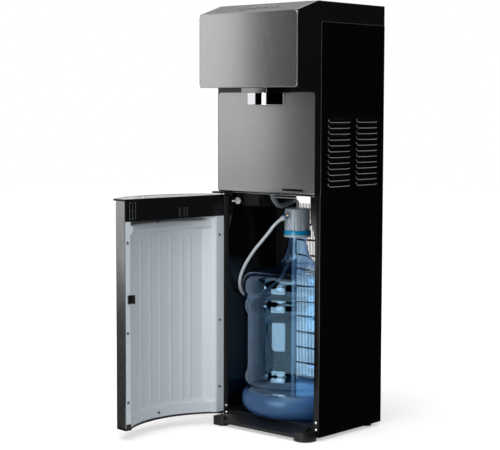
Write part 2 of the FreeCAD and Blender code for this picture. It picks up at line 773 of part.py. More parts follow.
tank_deck = ceiling_z + 195
slab(new_body("tank_shelf"), tank_deck, tank_deck + shelf_thick,
     rectangle(-inner_half, inner_half, -30, rear_y - 2 * steel))
tank_floor = tank_deck + shelf_thick
cold_x = -74.0
cold_y = 66.0
insulation = new_body("tank_insulation")
slab(insulation, tank_floor, seam_z - 8, rectangle(cold_x - 78, cold_x + 78, cold_y - 78, cold_y + 78))
rounded(insulation, 12, lambda edge: along(edge, "z"))
drilled(insulation, tank_floor + 22, seam_z - 8, [(cold_x, cold_y, 60.3)])
turned("cold_tank", [(0, tank_floor + 22), (52, tank_floor + 22), (60, tank_floor + 30),
                     (60, seam_z - 40), (52, seam_z - 32), (0, seam_z - 32), (0, seam_z - 33),
                     (51.6, seam_z - 33), (59, seam_z - 40.4), (59, tank_floor + 30.4),
                     (51.6, tank_floor + 23), (0, tank_floor + 23)], cold_x, cold_y)
hot_x = 84.0
hot_y = 66.0
turned("hot_tank", [(0, tank_floor), (40, tank_floor), (50, tank_floor + 12), (50, seam_z - 62),
                    (40, seam_z - 48, "arc"), (10, seam_z - 40), (0, seam_z - 40), (0, seam_z - 41),
                    (9.8, seam_z - 41), (39.4, seam_z - 48.8, "arc"), (49, seam_z - 62.2),
                    (49, tank_floor + 12.4), (39.5, tank_floor + 1), (0, tank_floor + 1)], hot_x, hot_y)

# One tube from each tank to its spout.
tube_z = feed_z.value
front_exit = (frame_y - 13).value
tank_tubes = []
for x, tank_x, tank_y, radius in ((-spout_x.value, cold_x, cold_y, 78.0),
                                  (spout_x.value, hot_x, hot_y, 50.0)):
    reach_y = tank_y - radius
    route = vectors([(x, front_exit, tube_z), (x, front_exit + 38, tube_z),
                     (x + (tank_x - x) * 0.55, front_exit + 62, tube_z + 1),
                     (tank_x, reach_y - 24, tube_z + 6), (tank_x, reach_y - 0.3, tube_z + 6)])
    tank_tubes.append(coded(None, tube(route, 3.2, 2.0)[0]))
grouped("tank_tubes", tank_tubes)

# ---------------------------------------------------------------- under the compartment's ceiling
cover_box = box(-118, -62, -41, 60, 550, ceiling_z)
cover_inside = box(-116, -64, -39, 58, 552, ceiling_z + 1)
minus("pump_cover", cover_box, cover_inside)
joined("water_pump", [cylinder((-90, -30, 567), 13, 52, "y"), cylinder((-90, 22, 567), 14, 24, "y")])

elbow_route = vectors([(-47, -8, ceiling_z.value), (-47, -8, 571), (-48, 17, 546), (-48, 66, 556)])
coded("pump_elbow", tube(elbow_route, 6.0, 3.6)[0])

switch_x = -121.8
switch_z = 562.0
switch_face = -51.0
plunger_tip = door_inner + 0.4
disc = cylinder((switch_x, switch_face - 5, switch_z), 8, 5, "y")
switch_box = box(switch_x - 8, switch_x + 3.4, switch_face, switch_face + 26, switch_z - 9, ceiling_z)
bored = cylinder((switch_x, switch_face - 8, switch_z), 2.1, 20, "y")
minus("door_switch_body", joined(None, [disc, switch_box]), bored)
plunger = cylinder((switch_x, plunger_tip, switch_z), 2, switch_face + 8 - plunger_tip, "y")
kept(plunger, "door_switch_plunger")

# ---------------------------------------------------------------- bottle and its probe
neck = 22.0
crown = 26.5
bottle_base = floor_z
outer_profile = [
    (0, bottle_base + 5), (62, bottle_base + 4), (98, bottle_base),
    (bottle_radius - 10.5, bottle_base + 11.5, "arc"), (bottle_radius + 1, bottle_base + 36),
    (bottle_radius, bottle_base + 50), (124, 101), (bottle_radius - 1, 117), (bottle_radius - 1, 137),
    (129, 150), (129, 283), (bottle_radius, 297), (bottle_radius, 313), (129.8, 329), (bottle_radius, 344),
    (bottle_radius, 359), (122.5, 384, "arc"), (98, 394.5), (62, 402.5), (36, 420.5, "arc"), (24.4, 453),
    (neck, 472), (neck, 496), (crown, 498), (crown, 510), (neck, 512)]
shell_in = bottle_wall
inner_profile = [
    (neck - shell_in, 512), (neck - shell_in, 472), (24.4 - shell_in, 452.7), (35, 419.5, "arc"),
    (61.6, 401.1), (97.6, 393.1), (121.5, 383, "arc"), (bottle_radius - shell_in, 359),
    (bottle_radius - shell_in, 344), (129.8 - shell_in, 329), (bottle_radius - shell_in, 313),
    (bottle_radius - shell_in, 297), (129 - shell_in, 283), (129 - shell_in, 150),
    (bottle_radius - 1 - shell_in, 137), (bottle_radius - 1 - shell_in, 117), (124 - shell_in, 101),
    (bottle_radius - shell_in, bottle_base + 50),
    (bottle_radius + 1 - shell_in, bottle_base + 36), (bottle_radius - 11.4, bottle_base + 12.6, "arc"),
    (98, bottle_base + shell_in), (62, bottle_base + 4 + shell_in), (0, bottle_base + 5 + shell_in)]
turned("bottle", outer_profile + inner_profile, 0, bottle_y)

# The cap is slipped over the neck, and the siphon tube hangs from its underside.
cap_in = cap_radius - 2
turned("probe_cap", [(0, cap_top - 2), (cap_in - 3, cap_top - 2), (cap_in, cap_top - 5),
                     (cap_in, cap_bottom + 17), (cap_radius, cap_bottom + 17), (cap_radius, cap_top - 3),
                     (cap_radius - 3, cap_top), (0, cap_top)], 0, bottle_y)
turned("cap_ring", [(neck + 1.5, cap_bottom), (cap_radius + 2, cap_bottom), (cap_radius + 2, cap_bottom + 6),
                    (cap_radius + 1.6, cap_bottom + 17), (cap_in, cap_bottom + 17),
                    (cap_in, cap_bottom + 6), (neck + 1.5, cap_bottom + 6)], 0, bottle_y)
siphon_radius = 6.5
siphon_foot = floor_z + 27
turned("siphon_tube", [(siphon_radius - 1.2, siphon_foot), (siphon_radius, siphon_foot),
                       (siphon_radius, cap_top - 2), (siphon_radius - 1.2, cap_top - 2)], siphon_x, siphon_y)

# A brass elbow in the cap's wall, with the nut that holds the hose.
fitting_out = FreeCAD.Vector(-0.74, -0.42, -0.52).normalize()
fitting_root = FreeCAD.Vector(0.2, bottle_y.value - 31.2, 531.0)


def on_fitting(radius, start, length, bore=0.0):
    """A cylinder on the fitting's slanting axis."""
    foot = fitting_root + fitting_out * start
    solid = Part.makeCylinder(radius, length, foot, fitting_out)
    if bore > 0:
        solid = solid.cut(Part.makeCylinder(bore, length + 2, foot - fitting_out, fitting_out))
    return solid


cap_solid = Part.makeCylinder(cap_radius.value + 0.02, 40, FreeCAD.Vector(0, bottle_y.value, 500))
nut_start = 14.0
nut_end = 24.0
brass = on_fitting(3.0, 0.0, nut_start).fuse(on_fitting(4.6, 2.0, 6.0)).cut(cap_solid)
coded("cap_fitting", brass.cut(on_fitting(1.6, -4.0, 24)))
coded("hose_nut", on_fitting(6.0, nut_start, nut_end - nut_start, 1.6))

hose_start = fitting_root + fitting_out * nut_end
hose_places = [
    (-58.5, -21.5, 473), (-85.5, -26, 444.5), (-106.5, -29.5, 417), (-122.3, -31.5, 392.5),
    (-133, -31.5, 369), (-138.8, -28, 350), (-142.5, -19, 332.5), (-145.2, -4, 320), (-146.2, 15, 313.5),
    (-146, 36, 312), (-143, 57, 316), (-136, 77, 327), (-127, 96.5, 343), (-117, 112, 364),
    (-98.5, 115.5, 391), (-88, 116, 423), (-83.5, 115.5, 455), (-80.5, 116.5, 484), (-75.5, 117, 511),
    (-68.5, 114, 533), (-59.5, 105, 549), (-52, 93, 557)]
elbow_end = elbow_route[-1]
elbow_out = (elbow_end - elbow_route[-2]).normalize()
hose_route = [hose_start, hose_start + fitting_out * 14] + vectors(hose_places)
hose_route += [elbow_end + elbow_out * 14, elbow_end]
hose_solid, hose_length = tube(hose_route, hose_radius.value)
coded("suction_hose", hose_solid)
print("hose radii", [round(radius) for radius in bend_radii(hose_route)])
print("hose runs", [round((b - a).Length) for a, b in zip(hose_route, hose_route[1:])])
swept = math.pi * hose_radius.value ** 2 * hose_length
print("hose length", round(hose_length), "volume to section and length", round(hose_solid.Volume / swept, 4))

# ---------------------------------------------------------------- hinges and door
hinge_plate_z = door_top + 4
hinge_plate_top = hinge_plate_z + 5
plate_box = box(-half_width + 1, hinge_x + 26, head_y + 43, front_y, hinge_plate_z, hinge_plate_top)
spacer = box(-half_width + 1, hinge_x + 26, frame_y + 2, front_y, hinge_plate_top, frame_z)
upper_pin = cylinder((hinge_x, hinge_y, door_top - 4.5), pin_radius, hinge_plate_top - door_top + 4.5)
joined("upper_hinge", [plate_box, spacer, upper_pin])
pin_foot = (hinge_x, hinge_y, lobe_z)
joined("lower_hinge_pin", [cylinder(pin_foot, pin_radius + 0.9, door_bottom - lobe_z - gap),
                           cylinder(pin_foot, pin_radius, door_bottom - lobe_z + 5)])
strike_low = 328.0
kept(box(half_width - flange, half_width - flange + 9, front_y + steel, front_y + 9, strike_low,
         strike_low + 26), "latch_strike")

door_parts = []


def bowed(half, side_y, middle_y):
    """The front edge of the door in plan, from the hinge side round to the free side."""
    return [(-half, side_y), (0, middle_y, "arc"), (half, side_y)]


def hollow_curve(hinge_edge):
    """The door's hollow back in plan, from the free side to the edge of the hinge side's flange."""
    return [(137, door_inner), (128, door_inner - 11), (0, door_inner - 50, "arc"),
            (9 - hinge_edge, door_inner - 11), (-hinge_edge, door_inner)]


def door_body(name):
    body = new_body(name)
    door_parts.append(body)
    return body


door_edge = door_inner - door_side
bearing = pin_radius + 0.05
plate_depth = 5.5
skin_back = door_inner - 1
skin = door_body("door_skin")
slab(skin, door_bottom + plate_depth, door_top - 5,
     [(-door_half, skin_back)] + bowed(door_half, door_edge, door_front) +
     [(door_half, skin_back), (door_half - skin_thick, skin_back)] +
     bowed(door_half - skin_thick, door_edge + 1, door_front + skin_thick)[::-1] +
     [(skin_thick - door_half, skin_back)])

top_cap = door_body("door_top_cap")
cap_half = door_half - skin_thick - gap
cap_front = door_front + skin_thick + gap
slab(top_cap, band_z, door_top - 5, [(-cap_half, door_inner)] + bowed(cap_half, door_edge + 1.2, cap_front) +
     [(cap_half, door_inner)])
slab(top_cap, door_top - 5, door_top, [(-door_half, door_inner)] +
     bowed(door_half, door_edge - 9, door_front - lip_out) + [(door_half, door_inner)])
rounded(top_cap, 1, lambda edge: edge.CenterOfMass.z > door_top.value - 0.01)
scooped(top_cap, band_z, door_top - 25, [(wall - cap_half, door_inner - wall)] +
        bowed(cap_half - wall, door_edge + 4, cap_front + wall) + [(cap_half - wall, door_inner - wall)])
tray_half = 128.0
tray_side = door_inner - 44
tray_front = door_front + 16
scooped(top_cap, door_top - 20, door_top, [(-tray_half, door_inner - 12)] +
        bowed(tray_half, tray_side, tray_front) + [(tray_half, door_inner - 12)])
drilled(top_cap, door_top - 5.2, door_top, [(hinge_x, hinge_y, bearing)])

tray = door_body("drip_tray")
tray_z = door_top - 19.7
slab(tray, tray_z, door_top - 2.5, [(gap - tray_half, door_inner - 12.3)] +
     bowed(tray_half - gap, tray_side, tray_front + gap) + [(tray_half - gap, door_inner - 12.3)])
scooped(tray, tray_z + 1.5, door_top - 2.5, [(2 - tray_half, door_inner - 14)] +
        bowed(tray_half - 2, tray_side + 0.6, tray_front + 2) + [(tray_half - 2, door_inner - 14)])
grille = door_body("drip_grille")
slab(grille, door_top - 2.5, door_top - 0.5, [(gap - tray_half, door_inner - 12.3)] +
     bowed(tray_half - gap, tray_side, tray_front + gap) + [(tray_half - gap, door_inner - 12.3)])
slot_rows = 5
slot_columns = 7
bridge = 6.0
for row in range(slot_rows):
    reach = 112 - 13 * row
    step = (2 * reach + bridge) / slot_columns
    slots = sketch_on(grille, "XY_Plane", door_top - 3)
    for column in range(slot_columns):
        left = column * step - reach
        outline(slots, rectangle(left, left + step - bridge, door_inner - 24 - 13 * row,
                                 door_inner - 20 - 13 * row))
    pocket(grille, slots, 4, backwards=True)

bottom_cap = door_body("door_bottom_cap")
slab(bottom_cap, door_bottom, door_bottom + plate_depth,
     [(-door_half, door_inner)] + bowed(door_half, door_edge, door_front) + [(door_half, door_inner)] +
     hollow_curve(137))
drilled(bottom_cap, door_bottom, door_bottom + plate_depth, [(hinge_x, hinge_y, bearing)])
block_top = 41.0
block_edge = 138.0
slab(bottom_cap, door_bottom + plate_depth, block_top,
     rectangle(block_edge, door_half - skin_thick - gap, door_inner - 12, door_inner))

# The liner is one thin moulding: flanges at the sides, a shallow border and a deeper ribbed pan.
liner = door_body("door_liner")
liner_thick = 2.0
liner_low = door_bottom + plate_depth
liner_high = band_z - gap
pan_low = 62
pan_high = 496
pan_free = 118.0
pan_hinge = 113.0
pan_depth = 60.0
pan_radius = 240.0
flange_free = 137.0
flange_hinge = 127.0


def pan_y(x, back=0.0):
    """Where the bowed floor of the pan lies at x, or a surface behind it."""
    return door_inner - pan_depth - back + pan_radius - math.sqrt(pan_radius ** 2 - x ** 2)


slab(liner, liner_low, liner_high,
     [(-door_half + skin_thick + gap, door_inner)] +
     [(-door_half + skin_thick + gap, door_inner - liner_thick),
      (-flange_hinge - 1, door_inner - liner_thick), (-pan_hinge - 2, pan_y(pan_hinge, 2)),
      (0, pan_y(0, 2), "arc"), (pan_free + 2, pan_y(pan_free, 2)),
      (flange_free + 1, door_inner - liner_thick), (door_half - skin_thick - gap, door_inner - liner_thick),
      (door_half - skin_thick - gap, door_inner)] + hollow_curve(flange_hinge))
scooped(liner, pan_low, pan_high, [(-flange_hinge, door_inner + 1), (-flange_hinge, door_inner),
                                   (-pan_hinge, pan_y(pan_hinge)), (0, pan_y(0), "arc"),
                                   (pan_free, pan_y(pan_free)), (flange_free, door_inner),
                                   (flange_free, door_inner + 1)])
back_curve = [(-flange_hinge - 1, door_inner - liner_thick), (8 - flange_hinge, door_inner - 13),
              (0, door_inner - 52, "arc"), (flange_free - 8, door_inner - 13),
              (flange_free + 1, door_inner - liner_thick), (pan_free + 3, pan_y(pan_free, 3)),
              (0, pan_y(0, 3), "arc"), (-pan_hinge - 3, pan_y(pan_hinge, 3))]
scooped(liner, liner_low, pan_low - liner_thick, back_curve)
scooped(liner, pan_high + liner_thick, liner_high, back_curve)
scooped(liner, liner_low, block_top + gap,
        rectangle(block_edge - gap, door_half, door_inner - 14, door_inner + 1))
rib_low = 66.0
rib_high = 477.0
rib_places = (-82, -53, -27, 6, 39, 79)
ribs = sketch_on(liner, "XY_Plane", rib_low)
for x in rib_places:
    ring(ribs, x, pan_y(x, 2.2), 4)
pad(liner, ribs, rib_high - rib_low)

latch = door_body("door_latch")
hook = [(127, door_inner), (147, door_inner), (147, door_inner + 3), (136, door_inner + 3),
        (136, door_inner + 6), (137.6, door_inner + 8), (137.6, door_inner + 11), (133, door_inner + 11),
        (132, door_inner + 3), (127, door_inner + 3)]
slab(latch, strike_low + 3, strike_low + 23, hook)

screws = []
border_y = door_inner - 49.4
screw_spots = [(147, door_inner, 95), (147, door_inner, 261), (147, door_inner, 475),
               (-138.5, door_inner, 97), (-138.5, door_inner, 265), (-138.5, door_inner, 478),
               (16, border_y, 44), (16, border_y, 518)]
for x, y, z in screw_spots:
    screws.append(cylinder((x, y, z), 3.4, 1.2, "y"))
door_parts.append(grouped("door_screws", screws))

# Every piece of the door is drawn shut, then swung open about the hinge.
axis_point = FreeCAD.Vector(hinge_x.value, hinge_y.value, 0)
swing = FreeCAD.Rotation(FreeCAD.Vector(0, 0, 1), -door_open.value)
for piece in door_parts:
    piece.Placement = FreeCAD.Placement(FreeCAD.Vector(), swing, axis_point)

# ---------------------------------------------------------------- checks and files
document.recompute()
for item in document.Objects:
    if "Invalid" in item.State or "Error" in item.State:
        raise ValueError(f"{item.Label} failed: {item.State}")
for part in sub_parts:
    shape = part.Shape
    if shape.isNull() or not shape.isValid():
        raise ValueError(f"{part.Label} has no valid solid")
    shape.exportStep(f"parts/{part.Label}.step")
    print(f"{part.Label:24s} {len(shape.Solids):3d} solids {shape.Volume / 1000:9.1f} cm3")
print(len(sub_parts), "sub-parts")
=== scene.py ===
import math

import bpy
import numpy as np
from mathutils import Matrix, Vector


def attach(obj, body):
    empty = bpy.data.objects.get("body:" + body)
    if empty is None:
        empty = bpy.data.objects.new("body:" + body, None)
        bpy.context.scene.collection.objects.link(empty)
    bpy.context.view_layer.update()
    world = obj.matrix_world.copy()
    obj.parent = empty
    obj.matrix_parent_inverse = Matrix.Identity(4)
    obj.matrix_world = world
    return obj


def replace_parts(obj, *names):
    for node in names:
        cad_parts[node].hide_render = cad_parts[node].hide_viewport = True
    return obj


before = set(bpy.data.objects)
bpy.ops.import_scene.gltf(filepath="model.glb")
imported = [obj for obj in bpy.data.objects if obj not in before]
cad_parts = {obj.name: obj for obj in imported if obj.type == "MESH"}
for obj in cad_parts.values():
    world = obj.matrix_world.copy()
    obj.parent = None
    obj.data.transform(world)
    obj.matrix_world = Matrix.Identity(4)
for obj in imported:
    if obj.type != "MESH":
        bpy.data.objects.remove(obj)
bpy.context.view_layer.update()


# ---------------------------------------------------------------- base
# One black polypropylene moulding: the floor that the bottle stands on, a ramp under the door and two lobes
# in front of the panels. Four rubber feet are pressed into it from below.
def uneven(tree, scale, detail=3.0, stretch=(1.0, 1.0, 1.0)):
    """Patches that vary from 0 to 1 over a piece's own metres."""
    place = tree.nodes.new("ShaderNodeTexCoord")
    reach = tree.nodes.new("ShaderNodeMapping")
    reach.inputs["Scale"].default_value = stretch
    noise = tree.nodes.new("ShaderNodeTexNoise")
    noise.inputs["Scale"].default_value = scale
    noise.inputs["Detail"].default_value = detail
    tree.links.new(place.outputs["Object"], reach.inputs["Vector"])
    tree.links.new(reach.outputs["Vector"], noise.inputs["Vector"])
    return noise.outputs["Fac"]


def between(tree, share, low, high):
    """A share of 0 to 1 turned into a number from low to high."""
    span = tree.nodes.new("ShaderNodeMapRange")
    span.inputs["To Min"].default_value = low
    span.inputs["To Max"].default_value = high
    tree.links.new(share, span.inputs["Value"])
    return span.outputs["Result"]


def blended(tree, share, low, high):
    """A share of 0 to 1 turned into a colour between two."""
    mix = tree.nodes.new("ShaderNodeMix")
    mix.data_type = "RGBA"
    mix.inputs[6].default_value = (*low, 1.0)
    mix.inputs[7].default_value = (*high, 1.0)
    tree.links.new(share, mix.inputs[0])
    return mix.outputs[2]


def roughened(tree, shader, height, strength, distance):
    """Gives a shader's surface a fine relief."""
    bump = tree.nodes.new("ShaderNodeBump")
    bump.inputs["Strength"].default_value = strength
    bump.inputs["Distance"].default_value = distance
    tree.links.new(height, bump.inputs["Height"])
    tree.links.new(bump.outputs["Normal"], shader.inputs["Normal"])


def finish(name, colour, rough, swing=0.12, patch=5.0, grain=1200.0, relief=0.08, stretch=(1.0, 1.0, 1.0),
           **sockets):
    """A finish that varies a little in colour and gloss, with a fine surface texture."""
    material = bpy.data.materials.new(name)
    material.use_nodes = True
    tree = material.node_tree
    shader = tree.nodes["Principled BSDF"]
    light = [min(1.0, channel * (1 + swing)) for channel in colour]
    dark = [channel * (1 - swing) for channel in colour]
    tree.links.new(blended(tree, uneven(tree, patch), dark, light), shader.inputs["Base Color"])
    smears = uneven(tree, patch * 9, 4.0, stretch)
    tree.links.new(between(tree, smears, rough * 0.85, rough * 1.15), shader.inputs["Roughness"])
    roughened(tree, shader, uneven(tree, grain, 2.0, stretch), relief, 0.0002)
    for socket, value in sockets.items():
        shader.inputs[socket.replace("_", " ")].default_value = value
    return material


def dress(node, material, edge=0.0):
    """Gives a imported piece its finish, and rounds its edges."""
    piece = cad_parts[node]
    for place in piece.material_slots:
        place.material = material
    if edge:
        bevel = piece.modifiers.new("rounded edges", "BEVEL")
        bevel.width = edge
        bevel.segments = 2
        bevel.limit_method = "ANGLE"
        bevel.angle_limit = math.radians(40)
        bevel.harden_normals = True
    return piece


black_moulding = finish("black moulding", (0.006, 0.006, 0.0066), 0.34, relief=0.1)
black_rubber = finish("black rubber", (0.018, 0.018, 0.018), 0.7, relief=0.3, grain=900)
dress("base_moulding", black_moulding, 0.0012)
dress("rubber_feet", black_rubber, 0.001)


# ---------------------------------------------------------------- side panels
# Two sheets of 1 mm steel, folded at the front and rear, with two columns of pressed louvres, painted black.
# They slide over the base, and two screws hold each front return.
sheet_steel = 0.001
fold = 0.0016
panel_x = 0.155
panel_front, panel_rear = -0.069, 0.177
panel_low, panel_high = 0.010, 0.992
front_return_x, rear_return_x = 0.1384, 0.141
louvre_rows, louvre_highest, louvre_pitch = 12, 0.767, 0.0138
louvre_tops = [louvre_highest - louvre_pitch * row for row in range(louvre_rows)]
louvre_starts = (-0.0426, 0.0646)
louvre_long, louvre_high = 0.084, 0.0085
hood_sheet, hood_out, hood_end, hood_rise = 0.0008, 0.0026, 0.007, 0.0022
hood_lap, hood_drop = 0.0004, louvre_high + 0.0012
highlight_bead_radius, seam_line = 0.0005, 0.0004

black_paint = finish("black painted steel", (0.002, 0.002, 0.0022), 0.2, grain=1800, relief=0.02, swing=0.2,
                     Specular_IOR_Level=0.4)
# The louvre edge beads' pale colour is a painted highlight where the pressed edges catch the light.
louvre_highlight_paint = finish("painted louvre edge highlight", (0.70, 0.70, 0.72), 0.35, grain=1800, relief=0.05, Metallic=0.4)
# The seam beads' grey colour is a painted highlight along the panels' folds.
seam_highlight_paint = finish("painted seam highlight", (0.20, 0.20, 0.21), 0.4, grain=1800, relief=0.05, Metallic=0.8)


def made(name, points, faces, material, body="cabinet", smooth=38):
    """A piece from its points and faces, which rides on a body of the frame."""
    mesh = bpy.data.meshes.new(name)
    mesh.from_pydata([tuple(point) for point in points], [], faces)
    mesh.materials.append(material)
    mesh.shade_smooth()
    mesh.set_sharp_from_angle(angle=math.radians(smooth))
    piece = bpy.data.objects.new(name, mesh)
    bpy.context.scene.collection.objects.link(piece)
    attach(piece, body)
    return piece


def thick(piece, thickness):
    """Gives a sheet its thickness, on the side away from its face."""
    solid = piece.modifiers.new("sheet", "SOLIDIFY")
    solid.thickness = thickness
    solid.offset = -1
    crisp = piece.modifiers.new("crisp edges", "EDGE_SPLIT")
    crisp.split_angle = math.radians(50)
    crisp.use_edge_sharp = False
    return piece


def grid_faces(rows, columns, turned_over=False, closed=False):
    """Faces between rows of points that hold the same number of columns."""
    faces = []
    for row in range(rows - 1):
        for column in range(columns if closed else columns - 1):
            following = (column + 1) % columns
            face = (row * columns + column, row * columns + following,
                    (row + 1) * columns + following, (row + 1) * columns + column)
            faces.append(face[::-1] if turned_over else face)
    return faces


def shifted(faces, first):
    """The same faces for points that come later in a list, from first on."""
    return [tuple(first + index for index in face) for face in faces]


def corner(x, y, radius, start, steps=4):
    """Points round a quarter turn about x, y."""
    turns = [math.radians(start + 90 * step / steps) for step in range(steps + 1)]
    return [(x + radius * math.cos(turn), y + radius * math.sin(turn)) for turn in turns]


for side, node in ((-1, "left_side_panel"), (1, "right_side_panel")):
    ends = sorted(edge for start in louvre_starts for edge in (start, start + louvre_long))
    plan = [(front_return_x, panel_front)] + corner(panel_x - fold, panel_front + fold, fold, -90)
    plan += [(panel_x, y) for y in ends] + corner(panel_x - fold, panel_rear - fold, fold, 0)
    plan += [(rear_return_x, panel_rear)]
    levels = [panel_low]
    for top in louvre_tops[::-1]:
        levels += [top - louvre_high, top - louvre_high * 0.4]
    levels += [panel_high]
    points = [(side * x, y, z) for z in levels for x, y in plan]
    faces = []
    for face in grid_faces(len(levels), len(plan), turned_over=side < 0):
        low = min(points[index][2] for index in face)
        near = min(points[index][1] for index in face)
        far = max(points[index][1] for index in face)
        pressed = any(abs(low - (top - louvre_high)) < 1e-6 for top in louvre_tops)
        across = any(abs(near - start) < 1e-6 and abs(far - start - louvre_long) < 1e-6
                     for start in louvre_starts)
        if not (pressed and across):
            faces.append(face)
    panel = thick(made(node + "_sheet", points, faces, black_paint), sheet_steel)
    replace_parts(panel, node)

    # Each louvre is a hood with closed ends that leans out over its slot.
    points = []
    faces = []
    along = [0, 0.0008, 0.002, 0.004, 0.007, 0.012] + [0.02 + 0.011 * step for step in range(5)]
    along += [louvre_long - run for run in (0.012, 0.007, 0.004, 0.002, 0.0008, 0)]
    drop = [0, 0.15, 0.35, 0.6, 0.85, 1.0]
    for start in louvre_starts:
        for top in louvre_tops:
            first = len(points)
            for share in drop:
                for run in along:
                    end = min(1.0, min(run, louvre_long - run) / hood_end)
                    out = hood_out * math.sin(share * math.pi / 2) ** 0.8 * math.sqrt(1 - (1 - end) ** 2)
                    rise = hood_rise * (1 - end) ** 2 * share
                    points.append((side * (panel_x + out), start + run,
                                   top + hood_lap - hood_drop * share + rise))
            faces += shifted(grid_faces(len(drop), len(along), turned_over=side > 0), first)
    thick(made(node + "_louvres", points, faces, black_paint, smooth=60), hood_sheet)

    # A pale bead down each louvre's front end and along its lip is a painted highlight, where the pressed
    # edges catch the light.
    # Each point of the edge is how far back it lies, how far out, and at what height.
    points = []
    faces = []
    for start in louvre_starts:
        for top in louvre_tops:
            lip = top - louvre_high - hood_sheet
            edge = [(0.0006, 0.0002, top - 0.0012), (0.0010, 0.0008, top - 0.0034),
                    (0.0020, 0.0014, top - 0.0058), (0.0042, 0.0020, lip + 0.0014),
                    (0.0075, 0.0026, lip + 0.0002), (0.030, 0.0027, lip),
                    (louvre_long - 0.012, 0.0027, lip), (louvre_long - 0.0045, 0.0024, lip + 0.0006),
                    (louvre_long - 0.0018, 0.0012, lip + 0.0022)]
            first = len(points)
            for run, out, level in edge:
                for step in range(6):
                    turn = math.pi * step / 3
                    points.append((side * (panel_x + out + highlight_bead_radius * math.cos(turn)), start + run,
                                   level + highlight_bead_radius * math.sin(turn)))
            faces += shifted(grid_faces(len(edge), 6, closed=True), first)
    made(node + "_louvre_edges", points, faces, louvre_highlight_paint, smooth=80)

# A thin grey bead along each panel's front fold and its top edge is a painted highlight, where the folds catch
# the light.
for side, name in ((-1, "left"), (1, "right")):
    seam = [(panel_front + 0.0006, z) for z in np.linspace(0.585, 0.9918, 12)]
    seam += [(y, 0.9922) for y in np.linspace(panel_front + 0.0012, panel_rear, 8)]
    points = []
    for y, z in seam:
        on_top = y > panel_front + 0.001
        for step in range(6):
            turn = math.pi * step / 3
            out, swell = seam_line * math.cos(turn), seam_line * math.sin(turn)
            points.append((side * (panel_x + out), y if on_top else y + swell, z + swell if on_top else z))
    faces = grid_faces(len(seam), 6, closed=True)
    made(name + "_panel_seam", points, faces, seam_highlight_paint, smooth=80)

zinc_plate = finish("zinc plated steel", (0.42, 0.43, 0.44), 0.36, swing=0.1, patch=60, Metallic=0.9)
dress("pillar_gussets", black_paint, 0.0002)


def screw_heads(name, spots, radius, height, material, body):
    """Domed screw heads with a cross recess: spots are points with the way that the heads face."""
    points = []
    faces = []
    rings = [0.0, 0.12, 0.24, 0.36, 0.48, 0.58, 0.7, 0.82, 0.93, 1.0, 1.0]
    around = 32
    for spot, facing in spots:
        first = len(points)
        turn = Vector(facing).to_track_quat("Z", "Y").to_matrix()
        for number, ring in enumerate(rings):
            for step in range(around):
                angle = 2 * math.pi * step / around
                x, y = ring * math.cos(angle), ring * math.sin(angle)
                up = height * (0.35 + 0.65 * math.sqrt(max(0.0, 1 - (0.96 * ring) ** 2)))
                if min(abs(x), abs(y)) < 0.14 and ring < 0.6:
                    up -= 0.55 * height
                if number == len(rings) - 1:
                    up = 0.0
                points.append(Vector(spot) + turn @ Vector((x * radius, y * radius, up)))
        faces += shifted(grid_faces(len(rings), around, closed=True, turned_over=True), first)
    return made(name, points, faces, material, body, smooth=30)


bright_screw = finish("nickel plated screw", (0.75, 0.76, 0.78), 0.25, Metallic=0.85, relief=0.02)
pillar_screw_x, pillar_screw_z = 0.146, (0.028, 0.045)
pillar_spots = [((side * pillar_screw_x, panel_front, z), (0, -1, 0)) for side in (-1, 1)
                for z in pillar_screw_z]
pillar_heads = screw_heads("pillar_screw_heads", pillar_spots, 0.0036, 0.0019, bright_screw,
                           "cabinet")
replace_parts(pillar_heads, "pillar_screws")


# ---------------------------------------------------------------- rear
# Behind the bottle hangs the condenser, a serpentine of black steel tube with wires spot-welded across it,
# between two moulded corner ducts. A steel panel with slots closes the upper half, and holds the mains inlet,
# the two switches and the two drains.
black_coil = finish("black enamelled tube", (0.008, 0.008, 0.009), 0.42, relief=0.1, grain=700)
red_rocker = finish("red rocker", (0.5, 0.02, 0.012), 0.25, relief=0.02, Coat_Weight=0.3)
blue_rocker = finish("blue rocker", (0.02, 0.09, 0.42), 0.25, relief=0.02, Coat_Weight=0.3)
dress("rear_upper_panel", black_paint, 0.0003)
dress("rear_ducts", black_moulding, 0.0004)
dress("condenser_coil", black_coil)
dress("condenser_wires", black_coil)
dress("power_inlet", black_moulding, 0.0004)
dress("switch_frames", black_moulding, 0.0004)
dress("hot_switch", red_rocker, 0.0005)
dress("cold_switch", blue_rocker, 0.0005)
dress("drain_plugs", black_moulding, 0.001)

# ON and OFF marks on the rockers, and finger ribs round the two drain plugs.
white_print = finish("white print", (0.75, 0.75, 0.75), 0.5, relief=0.0)


def ring_of(x, y, z, radius, width, steps=20):
    """A flat ring that faces the rear, as points and faces."""
    points = []
    for reach in (radius, radius - width):
        for step in range(steps):
            turn = 2 * math.pi * step / steps
            points.append((x + reach * math.cos(turn), y, z + reach * math.sin(turn)))
    return points, grid_faces(2, steps, closed=True)


rocker_y, bar_half = 0.1790, 0.0003
for node, x in (("hot_switch", -0.070), ("cold_switch", -0.042)):
    points, faces = ring_of(x, rocker_y, 0.6470, 0.0016, 0.0004)
    first = len(points)
    points += [(x - bar_half, rocker_y + 0.0004, 0.6535), (x + bar_half, rocker_y + 0.0004, 0.6535),
               (x + bar_half, rocker_y + 0.0009, 0.6565), (x - bar_half, rocker_y + 0.0009, 0.6565)]
    faces.append((first, first + 1, first + 2, first + 3))
    thick(made(node + "_marks", points, faces, white_print, node), 0.0006)

